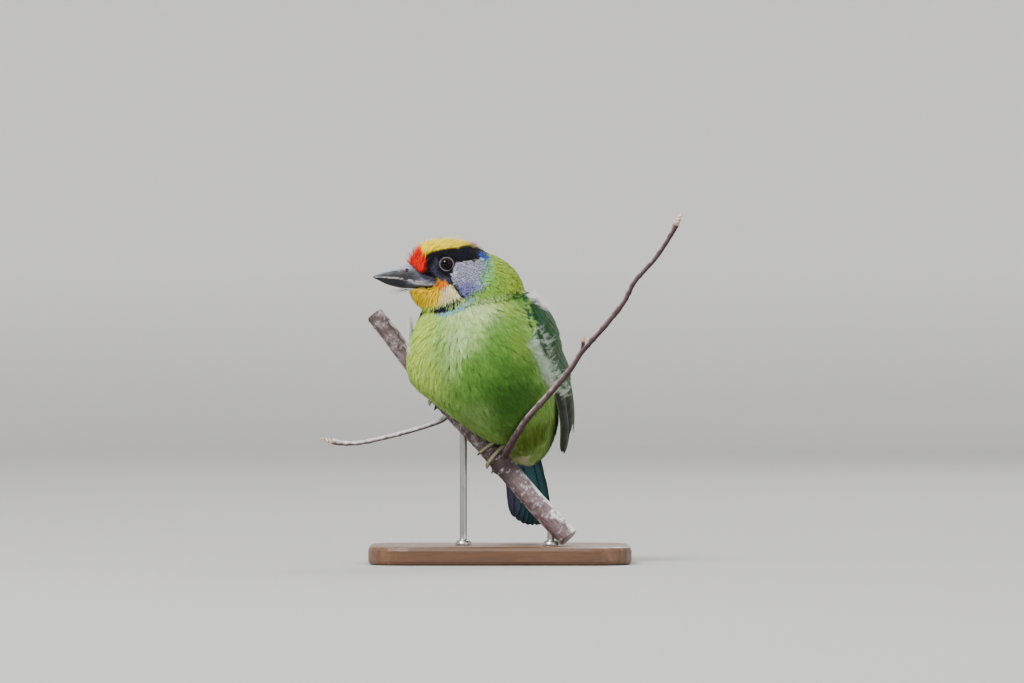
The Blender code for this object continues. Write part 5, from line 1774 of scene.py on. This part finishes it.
def make_eyeball(side, word, material):
    """An eyeball with its bulging cornea, its pupil and a dark iris."""
    centre, out, up, ahead = eye_frame(side)
    ball = Gathered()
    points = [centre + out * EYE_RADIUS * (1 + CORNEA_BULGE)]
    tints, grain = [TONE["black"] * 0.2], [(0, 0, 0)]
    for i in range(1, EYE_RINGS):
        angle = math.pi * i / EYE_RINGS
        radius = EYE_RADIUS * (1 + CORNEA_BULGE * float(smooth_step(0.75, 0.2, angle)))
        iris = float(smooth_step(*PUPIL_EDGE, angle) * smooth_step(*IRIS_EDGE, angle))
        tint = mix(TONE["black"] * 0.03, TONE["iris"], iris)
        for k in range(EYE_SIDES):
            turn = 2 * math.pi * k / EYE_SIDES
            spoke = ahead * math.cos(turn) + up * math.sin(turn)
            points.append(centre + (out * math.cos(angle) + spoke * math.sin(angle)) * radius)
            tints.append(tint)
            grain.append((math.cos(turn) * MM, math.sin(turn) * MM, angle * MM))
    faces = [(0, 1 + (k + 1) % EYE_SIDES, 1 + k) for k in range(EYE_SIDES)]
    for face in ring_faces(EYE_RINGS - 1, EYE_SIDES, False):
        faces.append(tuple(1 + corner for corner in face))
    faces.append(tuple(1 + (EYE_RINGS - 2) * EYE_SIDES + k for k in range(EYE_SIDES)))
    ball.add(points, faces, tints, grain)
    ball.piece("eyeball_" + word, material, "eye", ("eye_" + word,))


def make_lid(side, word, material):
    """The ring of bare lids round an eye, with its fine folds."""
    centre, _, up, _ = eye_frame(side)
    straight = (HEAD.to_3x3() @ Vector((side, 0, 0))).normalized()
    level = up.cross(straight)
    middle = centre + straight * LID_OUT
    lid = Gathered()
    points, tints, grain = [], [], []
    for i in range(LID_RINGS):
        turn = 2 * math.pi * i / LID_RINGS
        spoke = level * math.cos(turn) + up * math.sin(turn)
        squeeze = 1 - 0.05 * math.sin(turn) ** 2
        for k in range(LID_SIDES):
            roll = 2 * math.pi * k / LID_SIDES
            fold = 0.09 * math.cos(3 * roll + 0.6) + 0.05 * math.sin(turn * 17 + 2 * math.sin(roll))
            thick = LID_THICKNESS * (0.86 + fold)
            reach = LID_RADIUS * squeeze + thick * 1.25 * math.cos(roll)
            points.append(middle + spoke * reach + straight * thick * 0.9 * math.sin(roll))
            crest = float(smooth_step(0.75, 0.1, abs(roll - 0.6 * math.pi)))
            tints.append(mix(TONE["brow"], TONE["lid_crest"], crest))
            grain.append((spoke.x * reach, spoke.z * reach, 0))
    faces = ring_faces(LID_RINGS, LID_SIDES, False)
    end = (LID_RINGS - 1) * LID_SIDES
    for k in range(LID_SIDES):
        following = (k + 1) % LID_SIDES
        faces.append((end + k, end + following, following, k))
    lid.add(points, faces, tints, grain)
    lid.piece("lid_" + word, material, "head_plumage")


# Perch and feet


def branch_centre(along):
    """Centre of the branch, by distance down it from the known point."""
    sway = BRANCH_WANDER * math.sin(along / BRANCH_SWAY_LENGTH)
    drift = BRANCH_WANDER * math.sin(along / BRANCH_DRIFT_LENGTH + 1)
    bend = BRANCH_BEND_RISE * min(0, along - BRANCH_BEND_START) ** 2
    straight = BRANCH_KNOWN_POINT + BRANCH_DIRECTION * along
    return straight + BRANCH_TOP * (sway + bend) + BRANCH_FRONT * drift


def branch_radius(along):
    """Radius of the branch, by distance down it from the known point."""
    share = (along + BRANCH_UP_REACH) / (BRANCH_UP_REACH + BRANCH_DOWN_REACH)
    away = (along - BRANCH_SWELLING_PLACE) / BRANCH_SWELLING_SPREAD
    return mix(BRANCH_RADIUS_HIGH, BRANCH_RADIUS_LOW, share) + BRANCH_SWELLING * math.exp(-(away**2))


def branch_along_at_x(x):
    """Distance down the branch from the known point at which it reaches a given x."""
    return (x - BRANCH_KNOWN_POINT.x) / BRANCH_DIRECTION.x


def twig_line(rows, per_row):
    """Centres and radii of a twig, by a smooth line through its rows."""
    numbered = [(i, *row) for i, row in enumerate(rows)]
    marks = [i / per_row for i in range(per_row * (len(rows) - 1) + 1)]
    values = [smooth_table(numbered, mark) for mark in marks]
    return [Vector(v[:3]) * MM for v in values], [v[3] * MM for v in values]


def make_branch(material, rng):
    """The branch, with lenticels, knots, a rough skin and two sawn ends."""
    rings, around = BRANCH_RINGS, BRANCH_SIDES
    length = BRANCH_UP_REACH + BRANCH_DOWN_REACH
    marks = [-BRANCH_UP_REACH + length * i / (rings - 1) for i in range(rings)]
    centres = [branch_centre(mark) for mark in marks]
    lowest = (-BRANCH_UP_REACH, -math.pi, 0.25)
    highest = (BRANCH_DOWN_REACH, math.pi, 0.6)
    scars = [[rng.uniform(*ends) for ends in zip(lowest, highest)] for _ in range(BARK_SCARS)]
    relief, dark, rim = np.zeros((3, rings, around))
    turns = np.array([2 * math.pi * k / around for k in range(around)])
    stations = np.array(marks)
    for along, turn, size in scars:
        away = (stations[:, None] - along) / (size * 0.8 * MM)
        swing = (turns[None] - turn + math.pi) % (2 * math.pi) - math.pi
        round_gap = swing * 5.5 / (size * 2.4)
        reach = np.sqrt(away**2 + round_gap**2)
        relief += np.exp(-((reach - 0.8) ** 2) * 3) * size * SCAR_HEIGHT
        dark += np.exp(-((reach / 0.75) ** 2))
        rim += np.exp(-(((reach - 1.25) / 0.4) ** 2))
    fork = np.exp(-(((stations - FORK_PLACE) / FORK_SPREAD) ** 2))
    for i, mark in enumerate(marks):
        for k, turn in enumerate(turns):
            spot = Vector((math.cos(turn) * 2.2, math.sin(turn) * 2.2, mark / MM * 0.3))
            relief[i, k] += BARK_WAVES * noise.noise(spot) + BARK_GRAIN * noise.noise(spot * 4)

    def shape(i, turn):
        k = round(turn / (2 * math.pi) * around) % around
        ends = min(i, rings - 1 - i)
        return (branch_radius(marks[i]) + relief[i, k] - BARK_INSET) * (SAWN_EDGE if ends == 0 else 1)

    def tint(i, turn):
        k = round(turn / (2 * math.pi) * around) % around
        along = marks[i] / MM
        spot = Vector((math.cos(turn) * 1.8, math.sin(turn) * 1.8, along * 0.22))
        wander = noise.noise(spot) + 0.5 * noise.noise(spot * 3)
        low = float(smooth_step(38, 56, along))
        worn = smooth_step(0.35, 0.75, math.sin(turn) + 0.7 * wander + 0.25 * (1 - low))
        lit = low * float(smooth_step(-0.5, 0.6, math.cos(turn)))
        silver = mix(TONE["bark_silver"], TONE["bark_white"], lit)
        colour = mix(silver, TONE["bark_purple"], float(worn) * mix(0.75, 0.9, low))
        shade = 0.55 * (1 - low) * float(smooth_step(-0.2, 0.35, wander))
        colour = mix(colour, TONE["bark_dark"], max(shade, 0.85 * fork[i]))
        colour = mix(colour, TONE["bark_white"], 0.45 * min(1, rim[i, k]))
        return mix(colour, TONE["bark_dark"], 0.9 * min(1, dark[i, k]))

    branch = Gathered()
    limb(branch, centres, around, shape, tint, BRANCH_TOP)
    branch.piece("branch_bark", material, "bark", ("perch_branch",), 45)


def make_twig(name, runs, pale_top, replaced, material, rng):
    """A twig with nodes, and a bud of overlapping scales at the end of each of its runs. Pale top is how
    strongly its upper side is painted pale: its silvery bark, and a painted highlight along the top."""
    twig = Gathered()
    for rows, bud_length in runs:
        centres, radii = twig_line(rows, TWIG_STEPS)
        travelled = distances(centres)
        total = travelled[-1]
        nodes = [rng.uniform(0.03, 0.97) * total for _ in range(max(1, round(total / NODE_SPACING)))]

        def shape(i, turn):
            left = total - travelled[i]
            swell = sum(math.exp(-(((travelled[i] - node) / NODE_SPREAD) ** 2)) for node in nodes)
            grit = noise.noise(Vector((math.cos(turn) * 1.4, math.sin(turn) * 1.4, travelled[i] / MM * 0.5)))
            scales = 0.0
            if left < bud_length:
                spiral = left / bud_length * 4 + turn / math.pi
                scales = 0.16 * MM * (1 - (spiral % 1))
            return radii[i] * (1 + 0.09 * grit + 0.2 * min(1, swell)) + scales

        def tint(i, turn):
            left = total - travelled[i]
            bud = float(smooth_step(bud_length, bud_length * 0.7, left))
            spiral = (left / bud_length * 4 + turn / math.pi) % 1
            warm = mix(TONE["bud_tip"], TONE["bud_scale"], float(smooth_step(0.35, 1.0, spiral)))
            upper = 0.5 + 0.5 * math.cos(turn)
            spot = Vector((0, 0, travelled[i] / MM * 0.35))
            # The upper side is painted paler: silvery bark, and a painted highlight where the light falls
            # from above.
            silver = float(smooth_step(0.3, 0.95, upper + 0.35 * noise.noise(spot))) * pale_top
            bark = mix(TONE["bark_purple"], TONE["bark_white"], silver)
            # The underside is painted darker: painted shade.
            bark = mix(bark, TONE["bark_dark"], float(smooth_step(0.35, 0.0, upper)) * 0.7)
            return mix(bark, warm, bud)

        limb(twig, centres, TWIG_SIDES, shape, tint)
    twig.piece(name, material, "bark", replaced, 60)


# Turned rods of the stand: radius by height over the base, in millimetres
ROD_PROFILE = (
    (0, 4.2), (0.25, 4.5), (0.7, 4.5), (1.9, 3.85), (2.3, 3.5), (2.5, 3.0), (2.6, 2.2), (3.0, 2.0),
)
ROD_SIDES = 48
ROD_STEPS = 12


def make_rod(name, node, material):
    """A turned rod with its collar, from the base to the height that the solid reaches."""
    solid = np.array([v.co for v in node.data.vertices]) / MM
    x, y = (solid[:, :2].min(0) + solid[:, :2].max(0)) / 2
    low, high = solid[:, 2].min(), solid[:, 2].max()
    thin = ROD_PROFILE[-1]
    rings = [(low + z, radius) for z, radius in ROD_PROFILE]
    rings += [(mix(low + thin[0], high, (i + 1) / ROD_STEPS), thin[1]) for i in range(ROD_STEPS)]
    turns = [2 * math.pi * k / ROD_SIDES for k in range(ROD_SIDES)]
    points = [Vector((x + r * math.cos(t), y + r * math.sin(t), z)) * MM for z, r in rings for t in turns]
    rod = Gathered()
    rod.add(points, ring_faces(len(rings), ROD_SIDES), [TONE["bark_white"]] * len(points), points)
    rod.piece(name + "_turned", material, "stand_metal", (name,), 30)


def branch_spoke(turn):
    """The way out of the branch at a turn round it, which starts at its top."""
    return BRANCH_TOP * math.cos(turn) + BRANCH_FRONT * math.sin(turn)


def toe_line(along, row, first, last, steps, clearance):
    """Centres along a toe that lies round the branch, from one share of its turn to another."""
    begin, end, near, far = row
    points = []
    for i in range(steps + 1):
        share = mix(first, last, i / steps)
        turn = math.radians(mix(begin, end, share))
        shift = mix(near, far, share) * MM
        knuckle = 0.12 * MM * math.sin(share * 3 * math.pi) ** 2
        reach = branch_radius(along + shift) + clearance + knuckle
        points.append(branch_centre(along + shift) + branch_spoke(turn) * reach)
    return points


def scuted(centres, radius_at):
    """Shape and colour of a toe or leg: broad scutes on its outer side, soft pads inside."""
    travelled = distances(centres)
    length = travelled[-1]

    def shape(i, turn):
        outer = 0.5 + 0.5 * math.cos(turn)
        wave = abs(math.sin(math.pi * travelled[i] / SCUTE_PITCH)) ** 0.5
        pads = math.cos(2 * math.pi * travelled[i] / PAD_PITCH) * (1 - outer)
        return radius_at(travelled[i] / length) * (0.96 + 0.05 * wave * outer + 0.05 * pads)

    def tint(i, turn):
        outer = 0.5 + 0.5 * math.cos(turn)
        groove = 1 - abs(math.sin(math.pi * travelled[i] / SCUTE_PITCH)) ** 0.4
        crest = float(smooth_step(0.75, 1.0, outer))
        scute = mix(TONE["scute_side"], TONE["scute"], outer)
        # The pale stripe along the outer crest of the scutes is a painted highlight.
        scute = mix(scute, TONE["scute_highlight"], crest * 0.6)
        return mix(scute, TONE["scute_groove"], 0.75 * groove)

    return shape, tint


def claw_shape(i, turn):
    """Radius of a claw, which tapers to its tip and has a ridge along its outer side."""
    ridge = 1 + 0.18 * math.cos(turn) ** 3
    return mix(CLAW_RADIUS, CLAW_TIP_RADIUS, (i / CLAW_STEPS) ** 0.8) * ridge


def claw_tint(i, turn):
    """Colour of a claw, dark from a little beyond its root."""
    return mix(TONE["claw_root"], TONE["claw_tip"], min(1, i / CLAW_DARK_STEP))


def ball_shape(i, turn):
    """Radius of the ball that joins the leg to the toes."""
    return BALL_RADIUS * max(0.05, math.sin(math.pi * i / BALL_STEPS))


def make_foot(word, skin, horn):
    """A leg's bare part with four toes, and their claws as a piece of their own."""
    along = branch_along_at_x(FOOT_STATIONS[word])
    radius = branch_radius(along)
    clearance = TOE_CLEARANCE + TOE_RADIUS
    pad = branch_centre(along) + BRANCH_TOP * (radius + clearance + PAD_LIFT)
    knee = pad + Vector((0, 0.35, 0.94)) * TARSUS_LENGTH
    front = Vector((0, -1, 0))
    tarsus = [mix(pad, knee, i / TARSUS_STEPS) for i in range(TARSUS_STEPS + 1)]
    runs = [(tarsus, 1.05, 1.0, TARSUS_RADIUS, front)]
    for row in TOES.values():
        line = toe_line(along, row, 0, 1, TOE_STEPS, clearance)
        runs.append((line, 1.0, 0.86, TOE_RADIUS, branch_spoke(math.radians(row[0]))))
    foot, claws = Gathered(), Gathered()
    for line, near, far, thick, out in runs:
        shape, tint = scuted(line, lambda share, n=near, f=far, t=thick: t * mix(n, f, share))
        limb(foot, line, FOOT_SIDES, shape, tint, out)
    ball = []
    for i in range(BALL_STEPS + 1):
        ball.append(pad + Vector((0, 0, BALL_RADIUS * math.cos(math.pi * i / BALL_STEPS))))
    limb(foot, ball, FOOT_SIDES, ball_shape, lambda i, turn: TONE["toe_ball"], front)
    for row in TOES.values():
        sweep = abs(math.radians(row[1] - row[0]))
        start = 1 - CLAW_OVERLAP / (radius * sweep)
        line = toe_line(along, row, start, 1 + CLAW_SWEEP / sweep, CLAW_STEPS, clearance)
        limb(claws, line, CLAW_SIDES, claw_shape, claw_tint, branch_spoke(math.radians(row[1])))
    foot.piece("foot_" + word, skin, "foot_skin", ("leg_" + word,), 60)
    names = tuple(f"claw_{word}_{toe}" for toe in TOES)
    claws.piece("claws_" + word, horn, "claw_horn", names, 60)


# Stage


# Profile of the floor from its middle outwards, as radius and height in metres
STAGE_PROFILE = (
    (0, 0), (1.5, 0), (3, 0), (4.6, 0), (5.2, 0.05), (5.8, 0.24), (6.3, 0.62), (6.7, 1.2), (6.95, 2.1),
    (7, 4),
)
STAGE_DROP = 0.1 * MM  # how far the floor lies below the base's underside
STAGE_SIDES = 96


def make_stage(material):
    """A wide pale floor whose rim curves up all round, so that each view has the same ground."""
    form = bmesh.new()
    line = [form.verts.new((x, 0, z - STAGE_DROP)) for x, z in STAGE_PROFILE]
    edges = [form.edges.new(pair) for pair in zip(line, line[1:])]
    middle, upwards, whole = (0, 0, 0), (0, 0, 1), 2 * math.pi
    bmesh.ops.spin(
        form, geom=line + edges, cent=middle, axis=upwards, angle=whole, steps=STAGE_SIDES, use_merge=True
    )
    bmesh.ops.remove_doubles(form, verts=form.verts, dist=STAGE_DROP)
    bmesh.ops.recalc_face_normals(form, faces=form.faces)
    mesh = bpy.data.meshes.new("stage")
    form.to_mesh(mesh)
    form.free()
    mesh.materials.append(material)
    mesh.shade_smooth()
    made = bpy.data.objects.new("stage", mesh)
    bpy.context.scene.collection.objects.link(made)
    made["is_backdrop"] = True


# Lights: place, size (m) and power (W) of each soft box
LIGHTS = {
    "key": ((-1.3, -1.8, 2.6), 1.2, 165),
    "fill": ((2.4, -2.2, 1.0), 2.0, 22),
    "back": ((0.8, 2.2, 2.0), 1.6, 50),
}
LIGHT_AIM = Vector((0, 0, 0.12))
WORLD_STRENGTH = 0.85


def make_lights():
    """Soft boxes that aim at the bird, and an even white surrounding."""
    for name, (place, size, power) in LIGHTS.items():
        light = bpy.data.lights.new(name, "AREA")
        light.shape = "DISK"
        light.size = size
        light.energy = power
        made = bpy.data.objects.new(name, light)
        bpy.context.scene.collection.objects.link(made)
        made.location = place
        aim = LIGHT_AIM - Vector(place)
        made.rotation_euler = aim.to_track_quat("-Z", "Y").to_euler()
    world = bpy.context.scene.world or bpy.data.worlds.new("world")
    bpy.context.scene.world = world
    world.use_nodes = True
    sky = world.node_tree.nodes["Background"]
    sky.inputs["Color"].default_value = (1.0, 1.0, 1.0, 1)
    sky.inputs["Strength"].default_value = WORLD_STRENGTH


def make_camera():
    """The camera of the photo's view, level and straight ahead."""
    camera = bpy.data.cameras.new("camera")
    camera.sensor_width = SENSOR
    camera.lens = SENSOR * -CAMERA_PLACE[1] / PICTURE_SPAN
    camera.clip_end = 20
    made = bpy.data.objects.new("camera", camera)
    bpy.context.scene.collection.objects.link(made)
    made.location = CAMERA_PLACE
    made.rotation_euler = (math.pi / 2, 0, 0)
    bpy.context.scene.camera = made


def main():
    """Builds all pieces from the solids, in the order in which they draw random numbers."""
    for old in list(bpy.data.objects):
        bpy.data.objects.remove(old)
    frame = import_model()
    nodes = frame["nodes"]
    cad_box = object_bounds()
    rng = np.random.default_rng(SEED)
    make_camera()
    make_stage(stage_finish())
    make_lights()
    bird = Bird(nodes)
    make_coat(bird, nodes, rng)
    vanes = vane_finish("vanes", 0.5)
    for side, word in SIDES:
        make_wing(side, word, vanes, rng)
    make_tail(vane_finish("tail_vanes", 0.48), rng)
    horn = horn_finish("bill_horn", 0.5, 0.06)
    for part in ("upper", "lower"):
        make_mandible(part, horn)
    claw_horn = horn_finish("claw_horn", 0.32, 0.4)
    eye = eye_finish()
    lids = skin_finish("lid_skin", 1900)
    for side, word in SIDES:
        make_eyeball(side, word, eye)
        make_lid(side, word, lids)
    make_bristles(claw_horn, rng)
    bark = bark_finish("bark")
    make_branch(bark, rng)
    right = (((TWIG_COLLAR, *TWIG_RIGHT), 8 * MM), (TWIG_RIGHT_SPUR, 4.5 * MM))
    make_twig("twig_right_bark", right, 0.6, ("perch_twig_right",), bark, rng)
    make_twig("twig_left_bark", ((TWIG_LEFT, 8 * MM),), 1.0, ("perch_twig_left",), bark, rng)
    foot_skin = skin_finish("foot_skin", 1500)
    for word in ("left", "right"):
        make_foot(word, foot_skin, claw_horn)
    wood, metal = wood_finish(), metal_finish()
    nodes["stand_base"].data.materials.clear()
    nodes["stand_base"].data.materials.append(wood)
    for name in ("stand_rod_low", "stand_rod_high"):
        make_rod(name, nodes[name], metal)
    boxes = {"cad": cad_box, "visual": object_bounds()}
    {key: [list(corner) for corner in box] for key, box in boxes.items()}


main()
